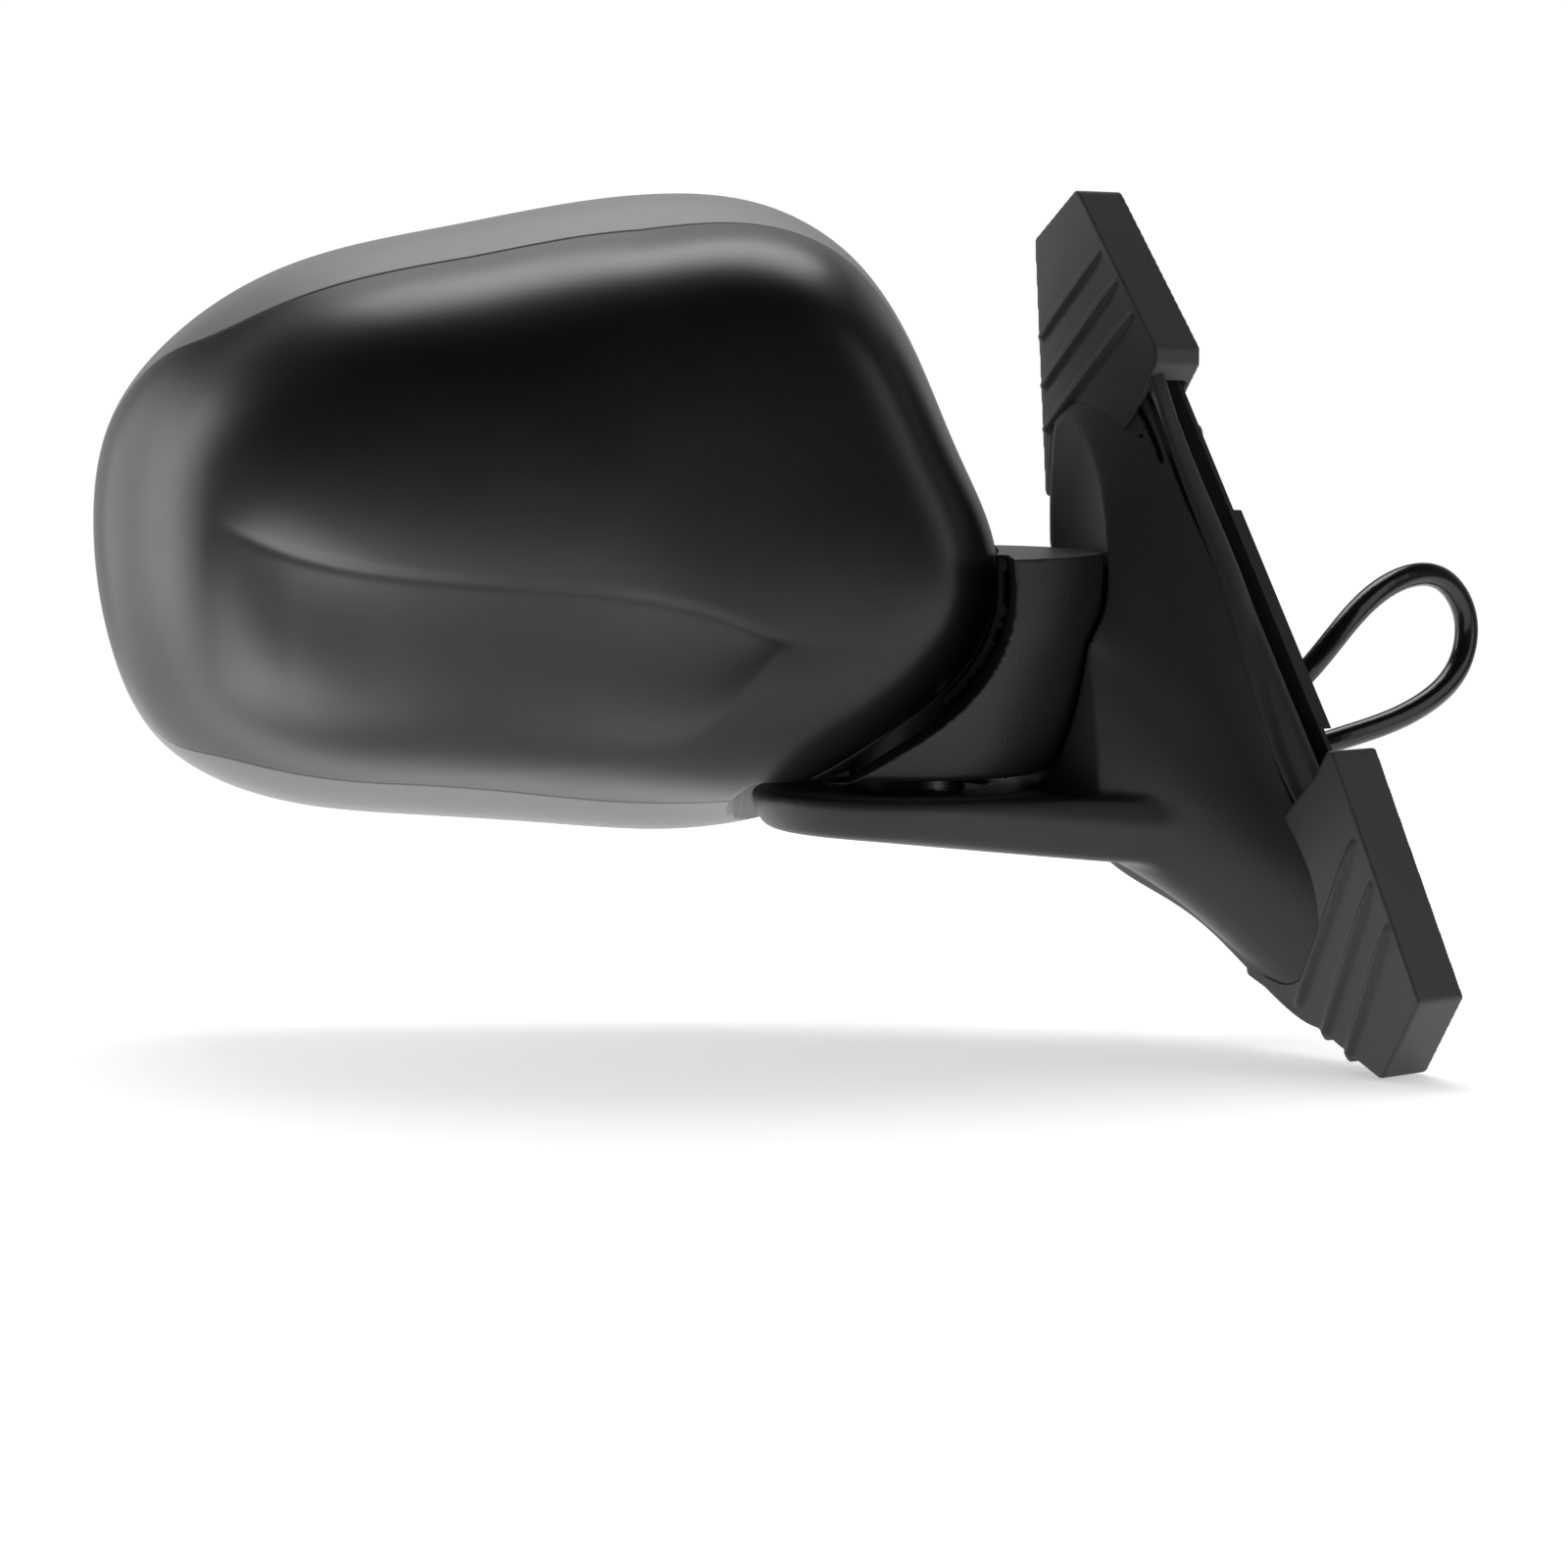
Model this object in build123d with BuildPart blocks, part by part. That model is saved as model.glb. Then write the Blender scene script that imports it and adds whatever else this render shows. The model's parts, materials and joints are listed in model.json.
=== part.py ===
from build123d import *

import os
from math import atan2, cos, degrees, radians, sin, sqrt

# Door mirror for the right side of a car: swept head, sprung fold pivot, two-axis power glass, flared door base.
#
# Row frame, millimetres: +X points inboard and is the normal of the door face, +Y to the rear of the car,
# +Z up. The origin lies on the door face, level with the fold axis. The head is modelled in its own swept
# axes: u runs inboard along the head, v runs to the rear, w is up, and u = v = 0 is the fold axis.

os.makedirs("parts", exist_ok=True)

# ---------------------------------------------------------------- driving dimensions
SWEEP = 36.0  # the head is swept back by this angle from the door normal, degrees
PIVOT_X = -65.0  # the fold axis stands this far outboard of the door face
SHELL_GAP = 0.4  # line between two moulded shells
SEAM = 1.2  # gap between the turning neck and the collar of the base
RUNNING = 0.1  # radial clearance of a pin in its bearing
BELOW_HEAD, ABOVE_HEAD = -70.0, 150.0  # heights clear of the head
PARTING_CUT_V = -80.0  # the parting block reaches this far in front of the head
WALL = 2.5  # moulded shell thickness

# Head envelope: rear rim outline (u, w) with the fullness of the flank below each point, 0 soft and 1 steep.
RIM = [
    (-211, 36, 0), (-206, 66, 0), (-190, 87, 0), (-160, 105.5, 0), (-117, 116, 0), (-62, 124, 0.05),
    (-38, 121.5, 0.4), (-17, 110.5, 0.8), (0, 88, 0.95), (13, 58, 1), (22, 36, 1), (23, 20, 1),
    (15, 0, 0.9), (-4, -19, 0.68), (-26, -33, 0.6), (-55, -40.5, 0.2), (-92, -39.5, 0.05), (-131, -37, 0),
    (-170, -31.5, 0), (-196, -16, 0), (-207, 7, 0),
]
DOME_CENTRE = (-62.0, 48.0)
RIM_V = 42.0
NOSE_V = -46.0  # just in front of the foremost section
LIP_DEPTH = 10.0
# Depth v of each section with its scale on soft flanks and on steep flanks.
SECTIONS = [
    (42, 1.0, 1.0), (31, 0.982, 0.999), (20, 0.957, 0.996), (0, 0.862, 0.985), (-15, 0.775, 0.965),
    (-27, 0.66, 0.93), (-36, 0.50, 0.86), (-42, 0.30, 0.66), (-44.5, 0.12, 0.40),
]
INNER_SECTIONS = SECTIONS[:7] + [(-39.5, 0.30, 0.66)]
PARTING_LOW = [
    (-216, 37), (-203, 34), (-192, 25), (-178, 12), (-160, 4), (-135, 0), (-100, -1), (-62, -3),
    (-40, -14), (-18, -22), (8, -24), (45, -24),
]
PARTING_HIGH = [
    (-216, 37), (-203, 34), (-192, 25), (-178, 12), (-160, 4), (-135, 0), (-100, -1), (-62, -1),
    (-40, 0), (-18, 2), (8, 4), (45, 6),
]

# Glass pack, centred on its gimbal.
GLASS_U, GLASS_W = -95.0, 42.0
GIMBAL_V = 25.0
OPENING_SCALE = 0.945
HOLDER_SCALE = 0.895
GLASS_SCALE = 0.875
HOLDER_V, PAD_V, GLASS_V, GLASS_FACE_V = 31.5, 33.5, 34.0, 36.2
JACK_ARM = 27.0  # from the gimbal centre to each jack screw
WORM_OFFSET = 12.2  # from a jack screw to the axis of its worm
GEAR_V = 7.0
CASE_FRONT_V, CASE_SPLIT_V, CASE_REAR_V = -7.0, 7.0, 16.5

# Fold pivot stack, heights along the fold axis.
SHAFT_R, SHAFT_BORE_R = 9.0, 6.5
FOOT_R, SCREW_RING_R = 19.5, 16.8
PIVOT_SCREW_R, PIVOT_HEAD_R, PIVOT_HEAD_H, PIVOT_SCREW_L = 1.6, 2.7, 1.0, 6.5
DETENT_R = 14.0
FLANGE_BOTTOM, FLANGE_TOP = -26.9, -25.5
DETENT_TOP = -22.7
HUB_BOTTOM, HUB_TOP = -22.5, 5.0
HUB_R, BUSH_R = 15.0, 11.0
HUB_CLEAR = 1.0  # between the hub and the shells it passes through
SPRING_LOW, SPRING_HIGH = 6.4, 26.0
SHAFT_TOP = 30.0
NECK_BOTTOM, NECK_TOP = -22.0, 33.5

# Door base.
FLANGE = [(-4, 119), (10, 110), (5, 40), (2, -36), (-111, -81), (-121, -66)]
FLANGE_CORNER_R = 6.0
SHELF_TOP, SHELF_BOTTOM = -24.2, -35.2
SHELF_ROOM_R = 43.0  # room for the shelf under the shells of the head
RIM_OUT, RIM_IN = -12.5, -9.5
PLATE_OUT, PLATE_IN = -9.5, -4.0
PAD_BACK = -2.5
STUDS = [(-14.0, 62.0), (-86.0, -52.0), (-9.5, -22.0)]
STUD_R, STUD_NECK_R, STUD_OUT = 3.0, 3.4, 18.0
STUD_NECK_END = 0.3
STUD_HEX_R, STUD_HEX_H = 5.5, 2.4
HARNESS_R = 3.0
EXIT = (-38.0, -14.0)  # where the harness leaves the door face, (Y, Z)
EXIT_R = 6.5
COVER_SCREWS = [(1.0, 107.0), (-109.0, -71.5)]
COVER_HEAD_H, COVER_SCREW_L = 1.3, 7.3

# ---------------------------------------------------------------- frames
U_DIR = Vector(cos(radians(SWEEP)), -sin(radians(SWEEP)), 0)
V_DIR = Vector(sin(radians(SWEEP)), cos(radians(SWEEP)), 0)
FOLD_AXIS = Axis((PIVOT_X, 0, 0), (0, 0, 1))


def head_point(u, v, w):
    """A point given in the head's own axes."""
    return Vector(PIVOT_X, 0, w) + U_DIR * u + V_DIR * v


def front_plane(v, u=0.0, w=0.0):
    """Plane across the head at depth v: local x is u, local y is w, and it faces forward."""
    return Plane(origin=head_point(u, v, w), x_dir=U_DIR, z_dir=V_DIR * -1)


def top_plane(w, u=0.0, v=0.0):
    """Level plane: local x is u, local y is v, and it faces up."""
    return Plane(origin=head_point(u, v, w), x_dir=U_DIR, z_dir=(0, 0, 1))


def side_plane(u, v=0.0, w=0.0):
    """Upright plane along v: local x is v, local y is w, and it faces inboard."""
    return Plane(origin=head_point(u, v, w), x_dir=V_DIR, z_dir=U_DIR)


def finish(part, name):
    """Labels a finished piece and writes its STEP."""
    part.label = name
    export_step(part, f"parts/{name}.step")


# ---------------------------------------------------------------- head envelope
def section_points(soft, steep, grow=0.0):
    """Rim outline shrunk for one section of the head, then pushed out by grow."""
    out = []
    for u, w, fullness in RIM:
        du, dw = u - DOME_CENTRE[0], w - DOME_CENTRE[1]
        scale = soft + (steep - soft) * fullness + grow / sqrt(du * du + dw * dw)
        out.append((DOME_CENTRE[0] + du * scale, DOME_CENTRE[1] + dw * scale))
    return out


def rim_about_glass(scale):
    """Rim outline shrunk about the centre of the glass."""
    return [(GLASS_U + (u - GLASS_U) * scale, GLASS_W + (w - GLASS_W) * scale) for u, w, _ in RIM]


def envelope(sections, grow=0.0):
    """Lofts the head's form through its sections, each pushed out by grow."""
    with BuildPart() as form:
        for v, soft, steep in sections:
            with BuildSketch(front_plane(v)):
                with BuildLine():
                    Spline(*section_points(soft, steep, grow), periodic=True)
                make_face()
        loft()
    return form.part


def parting_block(shift=0.0):
    """Everything in front of the parting surface between cap and bezel, moved back by shift."""
    with BuildPart() as block:
        for height, curve in ((BELOW_HEAD, PARTING_LOW), (ABOVE_HEAD, PARTING_HIGH)):
            points = [(u, v + shift) for u, v in curve]
            with BuildSketch(top_plane(height)):
                with BuildLine():
                    Spline(*points)
                    first, last = points[0], points[-1]
                    Polyline(last, (last[0], PARTING_CUT_V), (first[0], PARTING_CUT_V), first)
                make_face()
        loft(ruled=True)
    return block.part


def spring_body(radius, wire, low, high, turns):
    """Round-wire coil spring about the fold axis between two heights."""
    rise = high - low - 2 * wire
    with BuildPart() as coil:
        with BuildLine(Plane((PIVOT_X, 0, low + wire))) as path:
            Helix(pitch=rise / turns, height=rise, radius=radius)
        with BuildSketch(Plane(origin=path.line @ 0, z_dir=path.line % 0)):
            Circle(wire)
        sweep(path=path.line)
    return coil.part


outer_form = envelope(SECTIONS)
inner_form = envelope(INNER_SECTIONS, grow=-WALL)
clear_form = envelope(SECTIONS, grow=SHELL_GAP)

# Room under the head for the shelf of the base and for the hub that passes through the shells.
with BuildPart() as base_room:
    with BuildSketch(top_plane(BELOW_HEAD)):
        Circle(SHELF_ROOM_R)
        with Locations((54, 0)):
            Rectangle(120, 180)
    extrude(amount=NECK_BOTTOM - BELOW_HEAD)
    with BuildSketch(top_plane(NECK_BOTTOM - 8)):
        Circle(HUB_R + HUB_CLEAR)
    extrude(amount=60)

# ---------------------------------------------------------------- cap
PLATE_FRONT_V, PLATE_REAR_V = -10.0, -7.0
CAP_POSTS = [(-150, 45), (-62, 78), (-42, 30), (-112, 4)]
CAP_POST_R = 3.5

with BuildPart() as cap:
    with BuildSketch(front_plane(PLATE_FRONT_V)):
        with Locations(*CAP_POSTS):
            Circle(CAP_POST_R)
    extrude(amount=PLATE_FRONT_V - NOSE_V)
    add(outer_form, mode=Mode.INTERSECT)
    add(outer_form - inner_form)
    add(parting_block(-SHELL_GAP), mode=Mode.INTERSECT)
    add(base_room.part, mode=Mode.SUBTRACT)
finish(cap.part, "cap")

# ---------------------------------------------------------------- bezel
BOSSES = [(-135, 88, 1), (-52, 96, 1), (-135, -6, -1), (-66, -9, -1)]
BOSS_R, BOSS_TIP_V = 5.0, 14.0
BOSS_WEB_T, BOSS_WEB_H, BOSS_WEB_DEPTH = 3.0, 28.0, 9.0
SCREW_R, SCREW_HEAD_R, SCREW_HEAD_H = 1.75, 3.6, 2.4
SLOT_LENGTH, SLOT_WIDTH, SLOT_DEPTH = 3.6, 0.8, 1.4

with BuildPart() as bezel:
    for u, w, side in BOSSES:
        with BuildSketch(front_plane(BOSS_TIP_V)):
            with Locations((u, w)):
                Circle(BOSS_R)
        extrude(amount=BOSS_TIP_V - PLATE_REAR_V)
        with BuildSketch(front_plane(BOSS_TIP_V)):
            with Locations((u, w + side * BOSS_WEB_H / 2)):
                Rectangle(BOSS_WEB_T, BOSS_WEB_H)
        extrude(amount=BOSS_WEB_DEPTH)
    add(outer_form, mode=Mode.INTERSECT)
    with BuildSketch(front_plane(BOSS_TIP_V)):
        with Locations(*[(u, w) for u, w, side in BOSSES]):
            Circle(SCREW_R)
    extrude(amount=BOSS_TIP_V - PLATE_REAR_V, mode=Mode.SUBTRACT)
    add((outer_form - inner_form) - parting_block())
    with BuildSketch(front_plane(RIM_V)):
        with BuildLine():
            Spline(*rim_about_glass(OPENING_SCALE), periodic=True)
        make_face()
    extrude(amount=LIP_DEPTH, mode=Mode.SUBTRACT)
    add(base_room.part, mode=Mode.SUBTRACT)
finish(bezel.part, "bezel")

# ---------------------------------------------------------------- neck cover
NECK_SIDE = [(36, -19.5), (42, -6), (46.5, 12), (48, 30)]
GROOVE = 3.5  # width of the groove beside the edge of the cap


def barrel(side, bottom, top):
    """Solid turned about the fold axis with a smooth flank through side, given as (radius, w)."""
    with BuildPart() as turned:
        with BuildSketch(side_plane(0)):
            with BuildLine():
                Spline(*side)
                Polyline(side[-1], (side[-1][0], top), (0, top), (0, bottom), (side[0][0] - 6, bottom), side[0])
            make_face()
        revolve(axis=FOLD_AXIS)
    return turned.part


def front_prism(grow):
    """Prism running forward from the edge of the cap, pushed out by grow."""
    with BuildPart() as prism:
        with BuildSketch(front_plane(-14)):
            with BuildLine():
                Spline(*section_points(0.79, 0.968, grow), periodic=True)
            make_face()
        extrude(amount=50)
    return prism.part


def rear_prism(grow):
    """Prism running back from just inside the rear rim of the head, pushed out by grow."""
    with BuildPart() as prism:
        with BuildSketch(front_plane(RIM_V + 20)):
            with BuildLine():
                Spline(*section_points(1.0, 1.0, grow), periodic=True)
            make_face()
        extrude(amount=20 + 2)
    return prism.part


neck_skin = barrel(NECK_SIDE, NECK_BOTTOM, NECK_TOP) - clear_form - front_prism(GROOVE) - rear_prism(SHELL_GAP)
neck_core_side = [(r - WALL, w) for r, w in NECK_SIDE]
neck_core = barrel(neck_core_side, NECK_BOTTOM - 5, NECK_TOP - WALL)
neck_core = neck_core - envelope(SECTIONS[:-1], grow=SHELL_GAP + WALL) - front_prism(GROOVE + WALL)

with BuildPart() as neck_cover:
    add(neck_skin)
    add(neck_core, mode=Mode.SUBTRACT)
    with BuildSketch(top_plane(NECK_BOTTOM - 1)):
        Circle(HUB_R + HUB_CLEAR)
    extrude(amount=NECK_TOP - WALL - NECK_BOTTOM + 1, mode=Mode.SUBTRACT)
    add(neck_cover.solids().sort_by(SortBy.VOLUME)[-1], mode=Mode.REPLACE)
finish(neck_cover.part, "neck_cover")

# ---------------------------------------------------------------- head bracket and pivot bush
PLATE_OUTLINE = [
    (-10, 5), (-10, -8), (-62, -15), (-130, -13), (-142, -11), (-158, 8), (-160, 66), (-146, 88),
    (-135, 94), (-60, 102), (-42, 100), (-30, 60), (-30, 5),
]
PLATE_WINDOWS = [(-140, 42, 20, 44), (-50, 52, 16, 50), (-98, 92, 44, 10)]
CASE_SCREWS = [(-32.5, 9), (38, -22), (-17.8, 26)]  # about the glass centre

with BuildPart() as head_bracket:
    with BuildSketch(front_plane(PLATE_REAR_V)):
        with BuildLine():
            Polyline(*PLATE_OUTLINE, PLATE_OUTLINE[0])
        make_face()
        for u, w, width, height in PLATE_WINDOWS:
            with Locations((u, w)):
                RectangleRounded(width, height, 4, mode=Mode.SUBTRACT)
    extrude(amount=PLATE_REAR_V - PLATE_FRONT_V)
    with BuildSketch(top_plane(HUB_BOTTOM)):
        Circle(HUB_R)
    extrude(amount=HUB_TOP - HUB_BOTTOM)
    with BuildSketch(top_plane(-8)):
        with Locations((-35, 0)):
            Rectangle(52, 17)
    extrude(amount=HUB_TOP + 8)
    with BuildSketch(top_plane(HUB_BOTTOM)):
        Circle(BUSH_R)
    extrude(amount=HUB_TOP - HUB_BOTTOM, mode=Mode.SUBTRACT)
    with BuildSketch(front_plane(PLATE_REAR_V)):
        with Locations(*[(u, w) for u, w, side in BOSSES]):
            Circle(SCREW_R)
        with Locations(*[(GLASS_U + a, GLASS_W + b) for a, b in CASE_SCREWS]):
            Circle(SCREW_R)
    extrude(amount=PLATE_REAR_V - PLATE_FRONT_V, mode=Mode.SUBTRACT)
finish(head_bracket.part, "head_bracket")

with BuildPart() as pivot_bush:
    with BuildSketch(top_plane(HUB_BOTTOM)):
        Circle(BUSH_R)
    extrude(amount=HUB_TOP - HUB_BOTTOM)
    with BuildSketch(top_plane(HUB_TOP)):
        Circle(HUB_R - 1)
    extrude(amount=1.2)
    with BuildSketch(top_plane(HUB_BOTTOM)):
        Circle(SHAFT_R + RUNNING)
    extrude(amount=HUB_TOP - HUB_BOTTOM + 1.2, mode=Mode.SUBTRACT)
finish(pivot_bush.part, "pivot_bush")

with BuildPart() as bezel_screws:
    with BuildSketch(front_plane(PLATE_FRONT_V)):
        with Locations(*[(u, w) for u, w, side in BOSSES]):
            Circle(SCREW_HEAD_R)
    extrude(amount=SCREW_HEAD_H)
    with BuildSketch(front_plane(BOSS_TIP_V - 4)):
        with Locations(*[(u, w) for u, w, side in BOSSES]):
            Circle(SCREW_R)
    extrude(amount=BOSS_TIP_V - 4 - PLATE_FRONT_V)
    with BuildSketch(front_plane(PLATE_FRONT_V - SCREW_HEAD_H)):
        with Locations(*[(u, w) for u, w, side in BOSSES]):
            Rectangle(SLOT_LENGTH, SLOT_WIDTH)
            Rectangle(SLOT_WIDTH, SLOT_LENGTH)
    extrude(amount=-SLOT_DEPTH, mode=Mode.SUBTRACT)
finish(bezel_screws.part, "bezel_screws")

# ---------------------------------------------------------------- glass actuator
MOTOR_R, MOTOR_LENGTH, MOTOR_START = 7.5, 19.0, 12.0
CASE_WALL = 2.0
CASE_FOOT_V = PLATE_REAR_V + 4
CASE_HULL = [(JACK_ARM, 0, 14), (0, -JACK_ARM, 14), (-27, -14.8, 13), (14.8, 27, 13), (-8, 8, 16), (18, -18, 16)]
GEAR_R, GEAR_T, GEAR_HUB_R, GEAR_HUB_L, WORM_R, WORM_LENGTH = 9.0, 4.0, 5.0, 11.0, 3.0, 18.0
WORM_GAP = 3.0  # between a worm and its motor
NUT_BORE_R, JACK_R, BALL_R = 3.1, 3.0, 4.0
MOTOR_INLINE = JACK_ARM - WORM_OFFSET
PIN_R, PIN_ROOT, PIN_END = 2.0, 11.0, 18.6  # gimbal pins, from the gimbal centre
RING_R, RING_BORE_R, RING_T = 13.0, 9.0, 5.0
EAR_AT, EAR_T, EAR_WIDTH = 17.2, 4.4, 9.0


def about_glass(v, a=0.0, b=0.0):
    """Plane across the head at depth v whose origin is offset (a, b) from the glass centre."""
    return front_plane(v, GLASS_U + a, GLASS_W + b)


with BuildPart() as case_outer:
    with BuildSketch(about_glass(CASE_REAR_V)):
        for a, b, r in CASE_HULL:
            with Locations((a, b)):
                Circle(r)
        make_hull()
    extrude(amount=CASE_REAR_V - CASE_FRONT_V)

with BuildPart() as case_inner:
    with BuildSketch(about_glass(CASE_REAR_V - CASE_WALL)):
        for a, b, r in CASE_HULL:
            with Locations((a, b)):
                Circle(r - CASE_WALL)
        make_hull()
    extrude(amount=CASE_REAR_V - CASE_FRONT_V - 2 * CASE_WALL)

with BuildPart() as case_cradles:
    for reach in (15, 29):
        with BuildSketch(about_glass(CASE_REAR_V - CASE_WALL)):
            with Locations((-reach, -MOTOR_INLINE)):
                Rectangle(2.5, 18)
            with Locations((MOTOR_INLINE, reach)):
                Rectangle(18, 2.5)
        extrude(amount=CASE_REAR_V - CASE_FRONT_V - 2 * CASE_WALL)
    for a, b in ((JACK_ARM, 0), (0, -JACK_ARM)):
        with BuildSketch(about_glass(CASE_REAR_V - CASE_WALL)):
            with Locations((a, b)):
                Circle(GEAR_HUB_R + 1.5)
        extrude(amount=CASE_REAR_V - CASE_WALL - GEAR_V - GEAR_T / 2 - 0.2)
    for a, b in ((JACK_ARM, 0), (0, -JACK_ARM)):
        with BuildSketch(about_glass(CASE_REAR_V - CASE_WALL)):
            with Locations((a, b)):
                Circle(GEAR_HUB_R + RUNNING)
        extrude(amount=20, mode=Mode.SUBTRACT)

with BuildPart() as case_pockets:
    with BuildSketch(side_plane(GLASS_U - MOTOR_START - 24, GEAR_V, GLASS_W - MOTOR_INLINE)):
        Circle(MOTOR_R)
    extrude(amount=24)
    with BuildSketch(top_plane(GLASS_W + MOTOR_START, GLASS_U + MOTOR_INLINE, GEAR_V)):
        Circle(MOTOR_R)
    extrude(amount=24)
    for a, b in ((JACK_ARM, 0), (0, -JACK_ARM)):
        with BuildSketch(about_glass(GIMBAL_V, a, b)):
            Circle(JACK_R + 0.4)
        extrude(amount=GIMBAL_V - CASE_FRONT_V - CASE_WALL)

case_shell = (case_outer.part - case_inner.part + case_cradles.part) - case_pockets.part

with BuildPart() as case_ears:
    with BuildSketch(about_glass(GIMBAL_V + 3.3)):
        with Locations((0, EAR_AT), (0, -EAR_AT)):
            Rectangle(EAR_WIDTH, EAR_T)
    extrude(amount=GIMBAL_V + 3.3 - CASE_REAR_V)
    with BuildSketch(top_plane(GLASS_W - 20, GLASS_U, GIMBAL_V)):
        Circle(PIN_R + RUNNING)
    extrude(amount=40, mode=Mode.SUBTRACT)

with BuildPart() as split_block:
    with BuildSketch(about_glass(CASE_SPLIT_V)):
        Rectangle(160, 160)
    extrude(amount=40)

with BuildPart() as actuator_case_rear:
    add(case_shell)
    add(case_ears.part)
    add(split_block.part, mode=Mode.SUBTRACT)
finish(actuator_case_rear.part, "actuator_case_rear")

with BuildPart() as actuator_case_front:
    add(case_shell)
    add(split_block.part, mode=Mode.INTERSECT)
    with BuildSketch(about_glass(CASE_FOOT_V)):
        with Locations(*CASE_SCREWS):
            Circle(6.5)
    extrude(amount=CASE_FOOT_V - PLATE_REAR_V)
    with BuildSketch(about_glass(CASE_FOOT_V)):
        with Locations(*CASE_SCREWS):
            Circle(SCREW_R)
    extrude(amount=CASE_FOOT_V - PLATE_REAR_V, mode=Mode.SUBTRACT)
    for a, b in CASE_SCREWS:
        with BuildSketch(about_glass(CASE_SPLIT_V)):
            with Locations((a, b)):
                Circle(SCREW_HEAD_R + 0.4)
        extrude(amount=CASE_SPLIT_V - CASE_FOOT_V, mode=Mode.SUBTRACT)
finish(actuator_case_front.part, "actuator_case_front")

with BuildPart() as case_screws:
    with BuildSketch(about_glass(CASE_FOOT_V + SCREW_HEAD_H)):
        with Locations(*CASE_SCREWS):
            Circle(SCREW_HEAD_R)
    extrude(amount=SCREW_HEAD_H)
    with BuildSketch(about_glass(CASE_FOOT_V)):
        with Locations(*CASE_SCREWS):
            Circle(SCREW_R)
    extrude(amount=CASE_FOOT_V - PLATE_FRONT_V - 0.5)
    with BuildSketch(about_glass(CASE_FOOT_V + SCREW_HEAD_H)):
        with Locations(*CASE_SCREWS):
            Rectangle(SLOT_LENGTH, SLOT_WIDTH)
            Rectangle(SLOT_WIDTH, SLOT_LENGTH)
    extrude(amount=SLOT_DEPTH, mode=Mode.SUBTRACT)
finish(case_screws.part, "case_screws")


def motor_on(start):
    """Small can motor lying along the plane normal from its front face."""
    with BuildPart() as motor:
        with BuildSketch(start):
            Circle(MOTOR_R)
        extrude(amount=MOTOR_LENGTH)
        chamfer(motor.edges(), 0.8)
        with BuildSketch(start.offset(MOTOR_LENGTH)):
            Circle(2.6)
        extrude(amount=1.6)
        with BuildSketch(start.offset(MOTOR_LENGTH)):
            with Locations((0, 5), (0, -5)):
                Rectangle(2.2, 0.6)
        extrude(amount=2.2)
    return motor.part


def worm_on(start):
    """Worm at its pitch surface with the stub of its shaft, lying along the plane normal."""
    with BuildPart() as worm:
        with BuildSketch(start):
            Circle(WORM_R)
        extrude(amount=WORM_LENGTH)
        chamfer(worm.edges(), 0.6)
        with BuildSketch(start.offset(WORM_LENGTH)):
            Circle(1.2)
        extrude(amount=WORM_GAP - 0.2)
    return worm.part


yaw_motor_plane = top_plane(GLASS_W + MOTOR_START, GLASS_U + MOTOR_INLINE, GEAR_V)
pitch_motor_plane = Plane(
    origin=head_point(GLASS_U - MOTOR_START, GEAR_V, GLASS_W - MOTOR_INLINE), x_dir=V_DIR, z_dir=U_DIR * -1
)
motor_yaw = motor_on(yaw_motor_plane)
motor_pitch = motor_on(pitch_motor_plane)
finish(motor_yaw, "motor_yaw")
finish(motor_pitch, "motor_pitch")
yaw_worm = worm_on(yaw_motor_plane.offset(-WORM_LENGTH - WORM_GAP))
pitch_worm = worm_on(pitch_motor_plane.offset(-WORM_LENGTH - WORM_GAP))
finish(yaw_worm, "yaw_worm")
finish(pitch_worm, "pitch_worm")


def gear_at(a, b):
    """Nut wheel at its pitch surface, running on a jack screw."""
    with BuildPart() as gear:
        with BuildSketch(about_glass(GEAR_V + GEAR_T / 2, a, b)):
            Circle(GEAR_R)
        extrude(amount=GEAR_T)
        with BuildSketch(about_glass(GEAR_V + GEAR_HUB_L / 2, a, b)):
            Circle(GEAR_HUB_R)
        extrude(amount=GEAR_HUB_L)
        with BuildSketch(about_glass(GEAR_V + GEAR_T / 2, a, b)):
            with PolarLocations((GEAR_R + GEAR_HUB_R) / 2 - 0.2, 6):
                Circle(0.9)
        extrude(amount=GEAR_T, mode=Mode.SUBTRACT)
        with BuildSketch(about_glass(GEAR_V + GEAR_HUB_L / 2, a, b)):
            Circle(NUT_BORE_R)
        extrude(amount=GEAR_HUB_L, mode=Mode.SUBTRACT)
    return gear.part


def jack_at(a, b):
    """Jack screw with a ball end in the plane of the gimbal."""
    with BuildPart() as jack:
        with BuildSketch(about_glass(GIMBAL_V, a, b)):
            Circle(JACK_R)
        extrude(amount=GIMBAL_V - 0.5)
        with BuildSketch(about_glass(GIMBAL_V - 3, a, b)):
            Circle(JACK_R)
            Circle(JACK_R - 0.8, mode=Mode.SUBTRACT)
        extrude(amount=2.2, mode=Mode.SUBTRACT)
        with Locations(about_glass(GIMBAL_V, a, b)):
            Sphere(BALL_R)
    return jack.part


yaw_gear = gear_at(JACK_ARM, 0)
pitch_gear = gear_at(0, -JACK_ARM)
yaw_screw = jack_at(JACK_ARM, 0)
pitch_screw = jack_at(0, -JACK_ARM)
finish(yaw_gear, "yaw_gear")
finish(pitch_gear, "pitch_gear")
finish(yaw_screw, "yaw_screw")
finish(pitch_screw, "pitch_screw")

# ---------------------------------------------------------------- gimbal and glass
CUP_R, CUP_BORE_R, CUP_LIP_V = 6.6, 5.0, 22.8
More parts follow.
